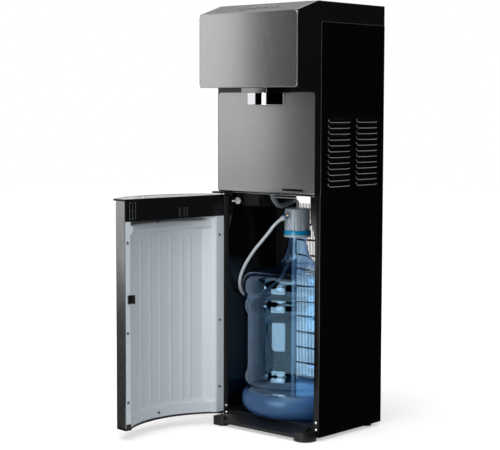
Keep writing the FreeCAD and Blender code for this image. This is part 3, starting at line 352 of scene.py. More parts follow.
drain_x, drain_z = (0.084, 0.116), 0.650
rib_radius, groove_radius, grip_steps = 0.0114, 0.0110, 72
points = []
faces = []
for x in drain_x:
    first = len(points)
    for y, swell in ((0.1762, 1.0), (0.1798, 1.0), (0.1803, 0.93)):
        for step in range(grip_steps):
            turn = 2 * math.pi * step / grip_steps
            radius = (rib_radius if step % 4 < 2 else groove_radius) * swell
            points.append((x + radius * math.cos(turn), y, drain_z + radius * math.sin(turn)))
    faces += shifted(grid_faces(3, grip_steps, closed=True), first)
    faces.append(tuple(first + 2 * grip_steps + step for step in range(grip_steps)))
made("drain_plug_grips", points, faces, black_moulding, smooth=20)


# ---------------------------------------------------------------- shelves and works
# Above the compartment a steel shelf carries the compressor on rubber mounts, and a second one the
# foam-lagged cold tank and the stainless hot tank, each with a silicone tube to its spout.
foam = finish("expanded foam", (0.62, 0.6, 0.52), 0.9, relief=0.6, grain=260, swing=0.08, patch=30)
stainless = finish("stainless steel", (0.6, 0.6, 0.6), 0.28, Metallic=1.0, stretch=(1, 1, 14), relief=0.1)
cast_black = finish("black enamelled pot", (0.014, 0.014, 0.015), 0.4, relief=0.3, grain=300)
dress("compressor_shelf", zinc_plate, 0.0003)
dress("tank_shelf", zinc_plate, 0.0003)
dress("compressor_mounts", black_rubber, 0.001)
dress("compressor", cast_black, 0.002)
dress("tank_insulation", foam, 0.002)
dress("cold_tank", stainless)
dress("hot_tank", stainless)


def clear_moulding(name, colour, rough, clear, **sockets):
    """A see-through or milky plastic."""
    return finish(name, colour, rough, swing=0.03, relief=0.03, Transmission_Weight=clear, **sockets)


silicone = clear_moulding("milky silicone", (0.72, 0.78, 0.82), 0.3, 0.25)
dress("tank_tubes", silicone)


# ---------------------------------------------------------------- ceiling of the compartment
# Under the shelf hang the pump in its cover, the grey rubber elbow that takes the hose, and the door switch:
# a white disc with a plunger that the shut door pushes in.
grey_rubber = finish("grey rubber", (0.23, 0.26, 0.28), 0.45, relief=0.15)
white_moulding = finish("white moulding", (0.72, 0.73, 0.74), 0.32, relief=0.04, swing=0.04)
dress("pump_cover", black_moulding, 0.0012)
dress("water_pump", black_moulding, 0.0006)
dress("pump_elbow", grey_rubber)
dress("door_switch_body", black_moulding, 0.0006)
dress("door_switch_plunger", white_moulding, 0.0005)


def block(name, low, high, material, body="cabinet", edge=0.0004):
    """A rectangular piece between two corners, with rounded edges."""
    plan = ((low[0], low[1]), (high[0], low[1]), (high[0], high[1]), (low[0], high[1]))
    points = [(x, y, z) for z in (low[2], high[2]) for x, y in plan]
    faces = grid_faces(2, 4, closed=True) + [(3, 2, 1, 0), (4, 5, 6, 7)]
    piece = made(name, points, faces, material, body, 20)
    bevel = piece.modifiers.new("rounded edges", "BEVEL")
    bevel.width = edge
    bevel.segments = 2
    return piece


def lathe(name, profile, centre, material, around=96, smooth=38, direction=(0, 0, 1), body="cabinet"):
    """Turns an outline in radius and height, in millimetres, about an axis from a centre."""
    turn = Vector(direction).to_track_quat("Z", "Y").to_matrix()
    points = []
    for radius, height in profile:
        for step in range(around):
            angle = 2 * math.pi * step / around
            place = Vector((radius * math.cos(angle), radius * math.sin(angle), height)) * 0.001
            points.append(Vector(centre) + turn @ place)
    faces = grid_faces(len(profile), around, closed=True)
    piece = made(name, points, faces, material, body, smooth)
    weld = piece.modifiers.new("poles", "WELD")
    weld.merge_threshold = 0.000002
    return piece


disc_outline = [(2.2, -0.3), (7.4, -0.3), (8.2, 0.1), (8.4, 0.9), (8.4, 4.9), (8.05, 4.9)]
lathe("door_switch_cover", disc_outline, (-0.1218, -0.056, 0.562), white_moulding, 48, 40,
      (0, 1, 0))
block("pump_bracket", (-0.046, -0.0135, 0.5712), (0.036, -0.0120, 0.5744), zinc_plate)


# ---------------------------------------------------------------- front frame and dispensing panel
# A glossy black frame closes the front of the works. The silver panel in it is coated aluminium, and its
# lower lip bows forward over the door.
black_gloss = finish("glossy black moulding", (0.006, 0.006, 0.0065), 0.16, relief=0.02, swing=0.15)
silver_coat = finish("silver coated panel", (0.46, 0.465, 0.47), 0.24, swing=0.04, relief=0.004, grain=2600,
                     Metallic=0.95)
dress("front_frame", black_gloss, 0.0010)
dress("dispense_panel", silver_coat, 0.0007)


# ---------------------------------------------------------------- nozzle
# The spout block and the round shroud under it are chrome-plated mouldings, screwed to the frame from behind.
# Two stainless spouts stand inside the shroud.
chrome = finish("chrome plating", (0.80, 0.81, 0.83), 0.05, relief=0.01, swing=0.02, Metallic=1.0)
satin = finish("satin chrome", (0.30, 0.305, 0.31), 0.12, relief=0.01, swing=0.02, Metallic=1.0)
dress("nozzle_block", satin, 0.0008)
dress("nozzle_shroud", chrome, 0.0006)
dress("spouts", stainless, 0.0003)


# ---------------------------------------------------------------- head
# The head is one glossy black moulding with a coated graphite face plate. A dark panel with four push buttons
# lies in its slope, and the control board is clipped behind them.
graphite = finish("graphite coated plate", (0.52, 0.525, 0.53), 0.24, swing=0.03, relief=0.004, grain=3000,
                  Metallic=0.95)
edge_bright = finish("polished edge", (0.5, 0.52, 0.54), 0.2, relief=0.0, Metallic=1.0)
dark_panel = finish("dark grey moulding", (0.018, 0.019, 0.021), 0.35, relief=0.08)
button_grey = finish("grey push button", (0.06, 0.062, 0.066), 0.35, relief=0.08)
board_green = finish("green circuit board", (0.012, 0.09, 0.035), 0.4, patch=80, swing=0.5)
dress("head_housing", black_gloss, 0.0012)
dress("head_face", graphite, 0.0)
dress("control_panel", dark_panel, 0.0006)
dress("control_board", board_green, 0.0003)
for node in ("hot_button", "warm_button", "cold_button", "lock_button"):
    dress(node, button_grey, 0.0007)

# The face plate's polished edge runs round its outline.
face_half, face_low, face_high, face_round, face_y = 0.145, 0.850, 1.006, 0.010, -0.1555
face_corners = ((face_half, face_high, 0), (-face_half, face_high, 90),
                (-face_half, face_low, 180), (face_half, face_low, 270))
bead = [(-0.0013, 0.0001), (-0.0010, 0.0004), (-0.0003, 0.0004), (0.0002, 0.0), (0.0003, -0.0006),
        (0.0002, -0.0018)]
points = []
for out, front in bead:
    for middle_x, middle_z, start in face_corners:
        for x, z in corner(middle_x, middle_z, face_round, start, 8):
            reach = math.hypot(x - middle_x, z - middle_z)
            points.append((x + (x - middle_x) / reach * out, face_y - front,
                           z + (z - middle_z) / reach * out))
faces = grid_faces(len(bead), len(points) // len(bead), closed=True)
made("face_edge", points, faces, edge_bright, smooth=60)

# A drop is printed on each of three buttons and a padlock on the fourth, with a lens beside each.
slope_up = Vector((0.0, 0.9493, 0.3143))
slope_out = Vector((0.0, -0.3143, 0.9493))
slope_foot = Vector((0.0, -0.1525, 1.016))
grey_print = finish("grey print", (0.45, 0.46, 0.48), 0.5, relief=0.0)


def on_slope(x, up, out):
    """A place on the head's slope: across it, up it and out of it."""
    return slope_foot + Vector((x, 0, 0)) + slope_up * up + slope_out * out


def printed(name, shapes, material, body, out):
    """Flat shapes on the slope: each is a list of points across and up."""
    points = []
    faces = []
    for shape in shapes:
        faces.append(tuple(range(len(points), len(points) + len(shape))))
        points += [on_slope(x, up, out) for x, up in shape]
    return made(name, points, faces, material, body)


def disc(x, up, radius, steps=16):
    """The outline of a round lens."""
    turns = [2 * math.pi * step / steps for step in range(steps)]
    return [(x + radius * math.cos(turn), up + radius * math.sin(turn)) for turn in turns]


def water_drop(x, up):
    """The outline of a drop: most of a circle, and a tip above it."""
    turns = [math.radians(150 + 240 * step / 12) for step in range(13)]
    return [(x + 0.0019 * math.cos(turn), up - 0.0007 + 0.0019 * math.sin(turn)) for turn in turns] + [
        (x, up + 0.0030)]


def padlock(x, up):
    """The outlines of a padlock's case and of its bow."""
    half, case_low, case_high = 0.0022, up - 0.0025, up + 0.0008
    turns = [math.pi * step / 8 for step in range(9)]
    outside = [(x + 0.0016 * math.cos(turn), case_high + 0.0018 * math.sin(turn)) for turn in turns]
    within = [(x + 0.0010 * math.cos(turn), case_high + 0.0012 * math.sin(turn)) for turn in turns[::-1]]
    return [[(x - half, case_low), (x + half, case_low), (x + half, case_high), (x - half, case_high)],
            outside + within]


button_up = 0.03896
buttons = (("hot_button", -0.051), ("warm_button", -0.017), ("cold_button", 0.017), ("lock_button", 0.051))
for node, x in buttons:
    shapes = padlock(x, button_up) if node == "lock_button" else [water_drop(x, button_up)]
    printed(node + "_mark", shapes, grey_print, node, 0.00082)
    printed(node + "_lens", [disc(x + 0.0135, button_up + 0.006, 0.0011)], grey_print, "cabinet", 0.0001)


# ---------------------------------------------------------------- top cover
# The black moulded cover closes the top behind the head, and overlaps the rear panel.
dress("top_cover", black_gloss, 0.0012)


# ---------------------------------------------------------------- bottle
# A 19 litre polycarbonate bottle, blown in one piece with hoops round it: clear blue, and frosted round its
# base. It stands upright on the base's floor.
bottle_y = 0.032
bottle_wall = 0.0014
bottle_profile = [(0.0, 40), (40, 40), (62, 39), (84, 36), (98, 35), (114, 36.5), (127, 46), (134.5, 57),
                  (136.4, 69), (135.8, 80), (132, 89), (126, 95.5), (124.4, 103), (127, 110), (132.2, 116),
                  (134.4, 124), (134.2, 136), (131.5, 145), (129.4, 150), (128.8, 160), (128.8, 210),
                  (129, 272), (129.6, 283), (132.5, 290), (134.9, 298), (135, 309), (133.8, 318),
                  (130.9, 324), (129.8, 329), (130.9, 335), (134, 341), (134.9, 350), (134.6, 361),
                  (131.6, 372), (125, 382), (114, 389.5), (98, 394.5), (78, 398.5), (60, 403), (46, 410),
                  (35.5, 421), (28.5, 436), (24.4, 453), (22.4, 468), (22, 480), (22, 494), (22.5, 496),
                  (26, 497.5), (26.6, 499), (26.6, 508), (26, 510.5), (24.5, 512), (22, 512.2)]


def rounded_off(profile, rounds):
    """Cuts the corners of an open outline, so that it becomes a smooth curve with the same ends."""
    for _ in range(rounds):
        cut = [profile[0]]
        for (r0, z0), (r1, z1) in zip(profile, profile[1:]):
            cut += [(0.75 * r0 + 0.25 * r1, 0.75 * z0 + 0.25 * z1),
                    (0.25 * r0 + 0.75 * r1, 0.25 * z0 + 0.75 * z1)]
        profile = cut + [profile[-1]]
    return profile


def inset(profile, depth):
    """The same outline moved inwards."""
    line = np.array(profile)
    run = np.gradient(line, axis=0)
    run /= np.linalg.norm(run, axis=1)[:, None]
    moved = line + depth * np.stack([-run[:, 1], run[:, 0]], axis=1)
    moved[:, 0] = np.maximum(moved[:, 0], 0.0)
    return [tuple(point) for point in moved]


def eased_over(tree, number, start, end, low, high):
    """A number that goes smoothly from low at start to high at end."""
    span = tree.nodes.new("ShaderNodeMapRange")
    span.interpolation_type = "SMOOTHSTEP"
    for socket, value in (("From Min", start), ("From Max", end), ("To Min", low), ("To Max", high)):
        span.inputs[socket].default_value = value
    tree.links.new(number, span.inputs["Value"])
    return span.outputs["Result"]


# Clear walls look deeper blue where they are seen at a slant, and the frosting fades out above the base.
frost_full, frost_gone = 0.090, 0.105
blue_clear = bpy.data.materials.new("clear blue polycarbonate")
blue_clear.use_nodes = True
tree = blue_clear.node_tree
shader = tree.nodes["Principled BSDF"]
shader.inputs["IOR"].default_value = 1.58
shader.inputs["Specular Tint"].default_value = (0.50, 0.78, 1.0, 1)
height = tree.nodes.new("ShaderNodeSeparateXYZ")
tree.links.new(tree.nodes.new("ShaderNodeTexCoord").outputs["Object"], height.inputs["Vector"])
frost = eased_over(tree, height.outputs["Z"], frost_full, frost_gone, 1.0, 0.0)
slant = tree.nodes.new("ShaderNodeLayerWeight")
slant.inputs["Blend"].default_value = 0.22
walls = tree.nodes.new("ShaderNodeMix")
walls.data_type = "RGBA"
walls.inputs[7].default_value = (0.02, 0.16, 0.62, 1)
tree.links.new(slant.outputs["Facing"], walls.inputs[0])
tree.links.new(blended(tree, frost, (0.58, 0.77, 0.92), (0.19, 0.42, 0.76)), walls.inputs[6])
tree.links.new(walls.outputs[2], shader.inputs["Base Color"])
tree.links.new(between(tree, frost, 0.02, 0.34), shader.inputs["Roughness"])
tree.links.new(between(tree, frost, 1.0, 0.86), shader.inputs["Transmission Weight"])
roughened(tree, shader, uneven(tree, 26, 2.0, (1, 1, 0.25)), 0.12, 0.0006)

outer = rounded_off(bottle_profile, 2)
inner = inset(outer, 1000 * bottle_wall)
bottle = lathe("water_bottle", outer + inner[::-1], (0, bottle_y, 0), blue_clear, 128, 80)
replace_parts(bottle, "bottle")


# ---------------------------------------------------------------- probe cap
# A frosted cap slips over the bottle's neck, with grip slots up its skirt and a cyan ring round its foot. The
# siphon tube hangs from it to the bottom of the bottle, and a brass fitting with a nut leads out to the hose.
frosted = finish("frosted cap", (0.50, 0.58, 0.66), 0.38, swing=0.03, relief=0.08, Transmission_Weight=0.25,
                 Subsurface_Weight=0.2, Subsurface_Scale=0.004)
cyan = finish("cyan ring", (0.0, 0.30, 0.58), 0.25, swing=0.05, relief=0.03, Transmission_Weight=0.15)
brass = finish("turned brass", (0.72, 0.50, 0.22), 0.22, Metallic=1.0, relief=0.05, grain=2000)
deep_blue = finish("blue clip", (0.02, 0.16, 0.6), 0.3, relief=0.02)

cap_outline = [(31.2, 491), (31.35, 492), (31.35, 498), (31.35, 504), (31.35, 509), (31.35, 513),
               (31.35, 516), (31.35, 519), (31.35, 540), (31.1, 542.5), (30.2, 544.3), (28.6, 545.0),
               (24, 545.2), (10, 545.2), (0, 545.2), (0, 543), (24, 543), (28.6, 541), (29.3, 538),
               (29.3, 519), (29.3, 516), (29.3, 513), (29.3, 509), (29.3, 504), (29.3, 498), (29.3, 492),
               (29.4, 491), (31.2, 491)]
cap = lathe("frosted_cap", cap_outline, (0, bottle_y, 0), frosted, 180, 50)

# Each grip slot is pressed into the skirt, and narrows on its way up.
slot_turns = [math.radians(-150 + 30 * number) for number in range(12)]
skirt_radius, skirt_foot = 0.0303, 0.491
slot_deep, slot_top, slot_half_turn, slot_taper = 0.0019, 0.5165, 0.075, 0.034
for vertex in cap.data.vertices:
    x, y, z = vertex.co.x, vertex.co.y - bottle_y, vertex.co.z
    radius = math.hypot(x, y)
    if radius > skirt_radius and z < slot_top:
        turn = math.atan2(y, x)
        off = min(abs(math.remainder(turn - place, 2 * math.pi)) for place in slot_turns)
        if off < slot_half_turn * (1 - (z - skirt_foot) / slot_taper):
            vertex.co.x *= 1 - slot_deep / radius
            vertex.co.y = bottle_y + y * (1 - slot_deep / radius)
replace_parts(cap, "probe_cap")

ring_outline = [(29.4, 480.2), (32.9, 480.2), (33.5, 480.8), (33.6, 482), (33.6, 489.4), (33.2, 490.6),
                (32.6, 490.9), (29.4, 490.9), (29.4, 480.2)]
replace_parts(lathe("cyan_cap_ring", ring_outline, (0, bottle_y, 0), cyan), "cap_ring")
collar_outline = [(23.5, 474), (32.2, 474), (33.0, 474.6), (33.2, 475.6), (33.1, 480.1), (23.5, 480.1),
                  (23.5, 474)]
lathe("clear_cap_collar", collar_outline, (0, bottle_y, 0), frosted)
clear_tube = clear_moulding("blue siphon tube", (0.55, 0.72, 0.88), 0.2, 0.55)
dress("siphon_tube", clear_tube)

fitting_out = Vector((-0.74, -0.42, -0.52)).normalized()
fitting_root = Vector((0.0002, 0.0008, 0.531))
body_outline = [(0, 1.4), (5.2, 1.4), (5.4, 2.0), (5.4, 7.0), (4.9, 7.8), (3.4, 8.2), (3.2, 9.0), (3.2, 14.2),
                (0, 14.2)]
fitting = lathe("brass_fitting", body_outline, fitting_root, brass, 24, 25, fitting_out)
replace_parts(fitting, "cap_fitting")
seat = [(5.6, 0.2), (7.6, 0.4), (7.8, 1.2), (7.6, 2.2), (5.6, 2.6), (5.6, 0.2)]
lathe("fitting_seat", seat, fitting_root, frosted, 48, 50, fitting_out)
collar = [(4.4, 8.6), (6.8, 9.0), (7.1, 10.2), (6.8, 11.8), (4.4, 12.2), (4.4, 8.6)]
lathe("blue_clip", collar, fitting_root, deep_blue, 48, 50, fitting_out)
nut_outline = [(3.4, 13.6), (5.2, 13.6), (5.8, 14.0), (6.3, 14.8), (6.3, 22.4), (5.9, 23.4), (4.9, 24.1),
               (4.2, 24.3)]
nut_steps = 72
nut = lathe("hose_nut_grips", nut_outline, fitting_root, silicone, nut_steps, 40,
            fitting_out)
for index, vertex in enumerate(nut.data.vertices):
    if 2 * nut_steps <= index < 6 * nut_steps and index % 6 < 2:
        centre = fitting_root + fitting_out * (vertex.co - fitting_root).dot(fitting_out)
        vertex.co = centre + (vertex.co - centre) * 0.93
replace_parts(nut, "hose_nut")


# ---------------------------------------------------------------- suction hose
# 8 mm silicone hose from the nut on the cap, down in front of the left wall, round behind the bottle and up
# to the elbow. It is pushed into both, and hangs under its own weight between them.
hose_radius, nut_reach, straight_end = 0.004, 0.024, 0.014
hose_start = fitting_root + fitting_out * nut_reach
elbow_end = Vector((-0.048, 0.066, 0.556))
elbow_bend = Vector((-0.048, 0.017, 0.546))
elbow_out = (elbow_end - elbow_bend).normalized()
hose_places = [
    (-58.5, -21.5, 473), (-85.5, -26, 444.5), (-106.5, -29.5, 417), (-122.3, -31.5, 392.5),
    (-133, -31.5, 369), (-138.8, -28, 350), (-142.5, -19, 332.5), (-145.2, -4, 320), (-146.2, 15, 313.5),
    (-146, 36, 312), (-143, 57, 316), (-136, 77, 327), (-127, 96.5, 343), (-117, 112, 364),
    (-98.5, 115.5, 391), (-88, 116, 423), (-83.5, 115.5, 455), (-80.5, 116.5, 484), (-75.5, 117, 511),
    (-68.5, 114, 533), (-59.5, 105, 549), (-52, 93, 557)]
route = [hose_start, hose_start + fitting_out * straight_end]
route += [Vector(place) * 0.001 for place in hose_places]
route += [elbow_end + elbow_out * straight_end, elbow_end]
curve = bpy.data.curves.new("milky_hose", "CURVE")
curve.dimensions = "3D"
spline = curve.splines.new("NURBS")
spline.points.add(len(route) - 1)
for point, place in zip(spline.points, route):
    point.co = (*place, 1.0)
spline.order_u = 3
spline.use_endpoint_u = True
spline.resolution_u = 10
curve.bevel_depth = hose_radius
curve.bevel_resolution = 6
curve.use_fill_caps = True
curve.materials.append(silicone)
hose = bpy.data.objects.new("milky_hose", curve)
bpy.context.scene.collection.objects.link(hose)
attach(hose, "cabinet")
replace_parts(hose, "suction_hose")


# ---------------------------------------------------------------- hinges and strike
# The door turns on a pin under the front frame's hinge plate and on another that stands on the base's lobe.
# The strike that holds its latch is screwed inside the free side's return.
dress("upper_hinge", black_moulding, 0.0006)
dress("lower_hinge_pin", zinc_plate)
dress("latch_strike", black_moulding, 0.0005)


# ---------------------------------------------------------------- door
# A bowed skin of coated steel, closed by a glossy black top moulding, a bottom cap and a thin white liner
# that is vacuum-formed with ribs. The liner and what is fixed to it are laid out shut and then swung open.
door_open = math.radians(96)
hinge_x, hinge_y = -0.1515, -0.079
door_back = -0.073


def swung(x, y, z):
    """A place on the shut door, in metres, moved to where the open door has it."""
    across, depth = x - hinge_x, y - hinge_y
    return (hinge_x + across * math.cos(door_open) + depth * math.sin(door_open),
            hinge_y - across * math.sin(door_open) + depth * math.cos(door_open), z)


def swung_way(x, y, z=0.0):
    """A direction on the shut door, turned with it."""
    return (x * math.cos(door_open) + y * math.sin(door_open),
            -x * math.sin(door_open) + y * math.cos(door_open), z)


dress("door_skin", graphite, 0.0007)
dress("door_top_cap", black_gloss, 0.0010)
dress("door_bottom_cap", black_moulding, 0.0010)
dress("door_latch", black_moulding, 0.0005)

# The liner is measured in millimetres on the shut door. Its hollow border is shallower than its pan, and both
# have floors that bow with the skin.
liner_white = finish("white vacuum-formed liner", (0.565, 0.615, 0.66), 0.42, swing=0.03, relief=0.06,
                     patch=9)
liner_left, liner_right = -151.7, 151.7
liner_low, liner_high = 33.0, 524.7
rib_places = (-80, -60, -29, 3, 36, 70)
rib_low, rib_top, rib_proud, rib_half = 72, 471, 1.5, 5.0
notch_left, notch_top = 136.5, 41.0
across = np.linspace(liner_left, liner_right, 166)
up = np.linspace(liner_low, liner_high, 250)


def eased(values, start, end):
    """0 before start, 1 after end, and a smooth rise between them."""
    share = np.clip((values - start) / (end - start), 0.0, 1.0)
    return share * share * (3 - 2 * share)


def hollow(x, deepest, middle, bow_radius, hinge_side, free_side):
    """Depth at x of a hollow with a bowed floor. A side is its slope's foot and edge, and the foot's depth."""
    hinge_foot, hinge_edge, hinge_depth = hinge_side
    free_foot, free_edge, free_depth = free_side
    off = np.clip(x, hinge_foot, free_foot) - middle
    bow = deepest - (bow_radius - np.sqrt(bow_radius ** 2 - off ** 2))
    hinge = np.interp(x, [hinge_edge, hinge_foot], [0.0, hinge_depth])
    free = np.interp(x, [free_foot, free_edge], [free_depth, 0.0])
    return np.where(x > free_foot, free, np.where(x < hinge_foot, hinge, bow))


x, z = np.meshgrid(across, up)
border = hollow(x, 50.1, 5, 213.2, (-118, -127, 11.0), (128, 137, 11.0))
pan = hollow(x, 60, 0, 240.0, (-113, -127, 28.3), (118, 137, 29.0))
in_pan = eased(z, 60, 64) * (1 - eased(z, 494, 498))
depth = border * (1 - in_pan) + pan * in_pan

# The band above the pan is a step deeper, and a flat tab stands in it at the free side.
depth += 11.0 * eased(z, 516.5, 518.5) * eased(x, -112, -106) * (1 - eased(x, 120, 126))
tab = eased(x, 125, 127) * eased(z, 494, 496) * (1 - eased(z, 512.5, 514.5))
depth *= 1 - tab
for _ in range(3):
    padded = np.pad(depth, 1, mode="edge")
    depth = (padded[:-2, 1:-1] + padded[2:, 1:-1] + padded[1:-1, :-2] + padded[1:-1, 2:] + 2 * depth) / 6
beyond = np.maximum(np.maximum(rib_low - z, z - rib_top), 0.0) * 0.5
for rib in rib_places:
    off = np.hypot(x - rib, beyond)
    depth -= rib_proud * np.clip(1 - (off / rib_half) ** 2, 0.0, None) ** 1.3
points = [swung(a * 0.001, door_back - d * 0.001, b * 0.001)
          for a, d, b in zip(x.ravel(), depth.ravel(), z.ravel())]
faces = []
for face in grid_faces(len(up), len(across), turned_over=True):
    row, column = divmod(min(face), len(across))
    if not (across[column] > notch_left and up[row] < notch_top):
        faces.append(face)
liner = thick(made("ribbed_door_liner", points, faces, liner_white, "door", 60), 0.0018)
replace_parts(liner, "door_liner")

dull_screw = finish("dull steel screw", (0.22, 0.23, 0.25), 0.35, Metallic=0.9, relief=0.03)
flat_spots = [(0.147, 0.095), (0.147, 0.261), (0.147, 0.475)]
flat_spots += [(-0.1385, 0.097), (-0.1385, 0.265), (-0.1385, 0.478)]
liner_spots = [(swung(a, door_back, b), swung_way(0, 1)) for a, b in flat_spots]
liner_spots += [(swung(0.016, door_back - 0.0496, b), swung_way(-0.06, 1)) for b in (0.044, 0.5155)]
door_heads = screw_heads("door_screw_heads", liner_spots, 0.0034, 0.0016, dull_screw, "door")
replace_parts(door_heads, "door_screws")


def door_bar(x0, x1, y0, y1, z0, z1, bevel):
    """Points and faces of a bar on the shut door, chamfered towards the inside of the cabinet."""
    ring = [(x0, z0), (x1, z0), (x1, z1), (x0, z1)]
    inner = [(x0 + bevel, z0 + bevel), (x1 - bevel, z0 + bevel), (x1 - bevel, z1 - bevel),
             (x0 + bevel, z1 - bevel)]
    points = [swung(a, y0, b) for a, b in ring] + [swung(a, y1 - bevel, b) for a, b in ring]
    points += [swung(a, y1, b) for a, b in inner]
    faces = grid_faces(3, 4, closed=True) + [(8, 9, 10, 11), (3, 2, 1, 0)]
    return points, faces


def door_bars(name, bars):
    """One piece of several bars: each is its two x, its reach out of the band, its two z and its bevel."""
    points = []
    faces = []
    for x0, x1, reach, z0, z1, bevel in bars:
        bar_points, bar_faces = door_bar(x0, x1, door_back - 0.0005, door_back + reach, z0, z1, bevel)
        faces += shifted(bar_faces, len(points))
        points += bar_points
    made(name, points, faces, black_moulding, "door", 20)


# Inside the top band: a slotted keeper near the free side, and near the middle a clip with two prongs and a
# shorter one between them.
keeper_bars = [(0.121, 0.1235, 0.529, 0.571), (0.130, 0.1325, 0.529, 0.571), (0.1385, 0.141, 0.529, 0.571),
               (0.1235, 0.130, 0.529, 0.533), (0.1235, 0.130, 0.548, 0.552), (0.1325, 0.1385, 0.529, 0.533),
               (0.1325, 0.1385, 0.548, 0.552), (0.1235, 0.1385, 0.567, 0.571)]
prongs = [(-0.036, -0.030, 0.0045), (-0.026, -0.0225, 0.0030), (-0.014, -0.008, 0.0045)]
door_bars("keeper_slots", [(x0, x1, 0.0012, z0, z1, 0.0006) for x0, x1, z0, z1 in keeper_bars])
door_bars("clip_prongs", [(x0, x1, reach, 0.530, 0.551, 0.001) for x0, x1, reach in prongs])


# ---------------------------------------------------------------- drip tray
# A black tray drops into the top of the door, and its slotted grille is coated like the dispensing panel.
# Both lift out.
dress("drip_tray", black_moulding, 0.0005)
dress("drip_grille", silver_coat, 0.0005)


# ---------------------------------------------------------------- studio
# A pale floor, a white surround and soft lamps. Narrow lamps and dark cards that only reflections see give
# the metal and the bottle their bright and dark bands.
def bare_material(name):
    """A new material with an empty node tree."""
    material = bpy.data.materials.new(name)
    material.use_nodes = True
    material.node_tree.nodes.clear()
    return material, material.node_tree


def combined(tree, operation, first, second):
    """One number from two: their product, or the larger of them, as the operation says."""
    node = tree.nodes.new("ShaderNodeMath")
    node.operation = operation
    tree.links.new(first, node.inputs[0])
    tree.links.new(second, node.inputs[1])
    return node.outputs[0]


# The floor takes shadows, and glows to the camera and through the bottle, less so close to the cooler.
floor_paint, tree = bare_material("pale floor")
out = tree.nodes.new("ShaderNodeOutputMaterial")
matt = tree.nodes.new("ShaderNodeBsdfDiffuse")
matt.inputs["Color"].default_value = (0.8, 0.8, 0.8, 1)
glow = tree.nodes.new("ShaderNodeEmission")
rays = tree.nodes.new("ShaderNodeLightPath")
seen = combined(tree, "MAXIMUM", rays.outputs["Is Camera Ray"], rays.outputs["Is Transmission Ray"])
away = tree.nodes.new("ShaderNodeVectorMath")
away.operation = "LENGTH"
tree.links.new(tree.nodes.new("ShaderNodeTexCoord").outputs["Object"], away.inputs[0])
glow_near, glow_far = 0.47, 0.80
spread = eased_over(tree, away.outputs["Value"], 0.35, 1.1, glow_near, glow_far)
tree.links.new(combined(tree, "MULTIPLY", seen, spread), glow.inputs["Strength"])
both = tree.nodes.new("ShaderNodeAddShader")
tree.links.new(matt.outputs[0], both.inputs[0])
tree.links.new(glow.outputs[0], both.inputs[1])
tree.links.new(both.outputs[0], out.inputs["Surface"])
floor_half = 9
floor_corners = [(-floor_half, -floor_half, 0), (floor_half, -floor_half, 0), (floor_half, floor_half, 0),
                 (-floor_half, floor_half, 0)]
mesh = bpy.data.meshes.new("studio_floor")
mesh.from_pydata(floor_corners, [], [(0, 1, 2, 3)])
mesh.materials.append(floor_paint)
floor = bpy.data.objects.new("studio_floor", mesh)
bpy.context.scene.collection.objects.link(floor)

# The surround is white to the camera, in reflections and through the bottle, and lights the cooler less.
world = bpy.data.worlds.new("white surround")
bpy.context.scene.world = world
world.use_nodes = True
tree = world.node_tree
tree.nodes.clear()
out = tree.nodes.new("ShaderNodeOutputWorld")
sky = tree.nodes.new("ShaderNodeBackground")
sky.inputs["Color"].default_value = (1.0, 1.0, 1.0, 1)
rays = tree.nodes.new("ShaderNodeLightPath")
seen = combined(tree, "MAXIMUM", rays.outputs["Is Camera Ray"], rays.outputs["Is Glossy Ray"])
seen = combined(tree, "MAXIMUM", seen, rays.outputs["Is Transmission Ray"])
tree.links.new(between(tree, seen, 0.30, 1.0), sky.inputs["Strength"])
tree.links.new(sky.outputs[0], out.inputs["Surface"])


def lamp(name, place, target, width, height, power, mirrored=True, lights=True):
    """A soft box that faces a target. One that isn't mirrored only lights, and one that doesn't light only
    shows in reflections."""
    light = bpy.data.lights.new(name, "AREA")
    light.shape = "RECTANGLE"
    light.size, light.size_y = width, height
    light.energy = power
    box = bpy.data.objects.new(name, light)
    box.location = place
    box.rotation_euler = (Vector(target) - Vector(place)).to_track_quat("-Z", "Y").to_euler()
    box.visible_camera = False
    box.visible_diffuse = lights
    box.visible_glossy = mirrored
    box.visible_transmission = mirrored
    bpy.context.scene.collection.objects.link(box)


card_black, tree = bare_material("black card")
out = tree.nodes.new("ShaderNodeOutputMaterial")
flat = tree.nodes.new("ShaderNodeBsdfDiffuse")
flat.inputs["Color"].default_value = (0.0, 0.0, 0.0, 1)
tree.links.new(flat.outputs[0], out.inputs["Surface"])


def dark_card(name, place, target, width, height, clear=False):
    """A black card that reflections see, and rays through the bottle too unless it is clear to them."""
    mesh = bpy.data.meshes.new(name)
    half_w, half_h = width / 2, height / 2
    corners = [(-half_w, -half_h, 0), (half_w, -half_h, 0), (half_w, half_h, 0), (-half_w, half_h, 0)]
    mesh.from_pydata(corners, [], [(0, 1, 2, 3)])
    mesh.materials.append(card_black)
    card = bpy.data.objects.new(name, mesh)
    card.location = place
    card.rotation_euler = (Vector(target) - Vector(place)).to_track_quat("Z", "Y").to_euler()
    bpy.context.scene.collection.objects.link(card)
    card.visible_camera = False
    card.visible_diffuse = False
    card.visible_transmission = not clear
    card.visible_shadow = False


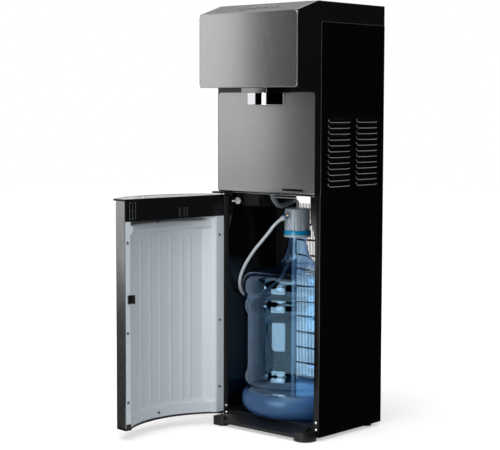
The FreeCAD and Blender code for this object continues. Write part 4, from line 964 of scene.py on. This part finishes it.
middle = (0.0, 0.0, 0.55)
lamp("box_front", (0.13, -2.30, 0.95), (0.0, -0.1, 0.75), 0.50, 1.5, 8.0)
lamp("strip_low", (0.02, -1.165, 0.29), (0.0, 0.032, 0.24), 0.62, 0.56, 5.2, lights=False)
lamp("glint_right", (-0.253, -0.514, 0.410), (0.147, -0.069, 0.46), 0.06, 0.13, 0.16, lights=False)
lamp("box_high", (0.15, -1.50, 2.0), (0.0, 0.0, 0.4), 1.6, 0.9, 13.0)
lamp("soft_right", (2.3, -1.9, 1.9), middle, 1.4, 1.4, 30.0, mirrored=False)
lamp("soft_left", (-2.6, -1.5, 1.6), middle, 1.2, 1.6, 14.0, mirrored=False)
lamp("soft_top", (0.1, -0.2, 2.7), (0.0, 0.0, 0.5), 1.6, 1.6, 18.0, mirrored=False)
dark_card("card_right", (1.9, 2.15, 0.6), (0.155, 0.05, 0.6), 4.6, 4.0, clear=True)
dark_card("card_floor", (1.87, 1.6, 0.003), (1.87, 1.6, 1.0), 3.4, 4.0, clear=True)
dark_card("card_near", (-0.215, -0.765, 0.88), (0.119, -0.394, 0.88), 0.50, 0.90)
dark_card("card_side", (2.9, 0.25, 0.9), (0.0, 0.0, 0.9), 3.0, 3.2)
dark_card("card_front", (-0.55, -2.75, 0.9), (0.0, 0.0, 0.9), 1.3, 3.2)
dark_card("card_floor_left", (-0.75, -0.90, 0.003), (-0.75, -0.90, 1.0), 1.1, 1.1, clear=True)
dark_card("card_low", (-0.99, -0.97, 0.09), (-0.18, -0.38, 0.09), 1.1, 0.42)
dark_card("card_camera", (2.15, -2.25, 0.9), (0.0, 0.0, 0.9), 3.2, 3.4)

# The photograph's view: a long lens at about the height of the head.
camera_place = (2.2064, -2.5946, 0.7932)
forward = Vector((-0.6666, 0.7406, -0.0844)).normalized()
level_right = forward.cross(Vector((0, 0, 1))).normalized()
level_up = level_right.cross(forward)
roll = math.radians(0.14)
right = level_right * math.cos(roll) + level_up * math.sin(roll)
upward = level_up * math.cos(roll) - level_right * math.sin(roll)
lens = bpy.data.cameras.new("camera")
lens.lens = 100.05
lens.sensor_width = 36
camera = bpy.data.objects.new("camera", lens)
turn = Matrix((right, upward, -forward)).transposed().to_4x4()
camera.matrix_world = Matrix.Translation(camera_place) @ turn
bpy.context.scene.collection.objects.link(camera)
bpy.context.scene.camera = camera
bpy.context.scene.view_settings.view_transform = "Standard"
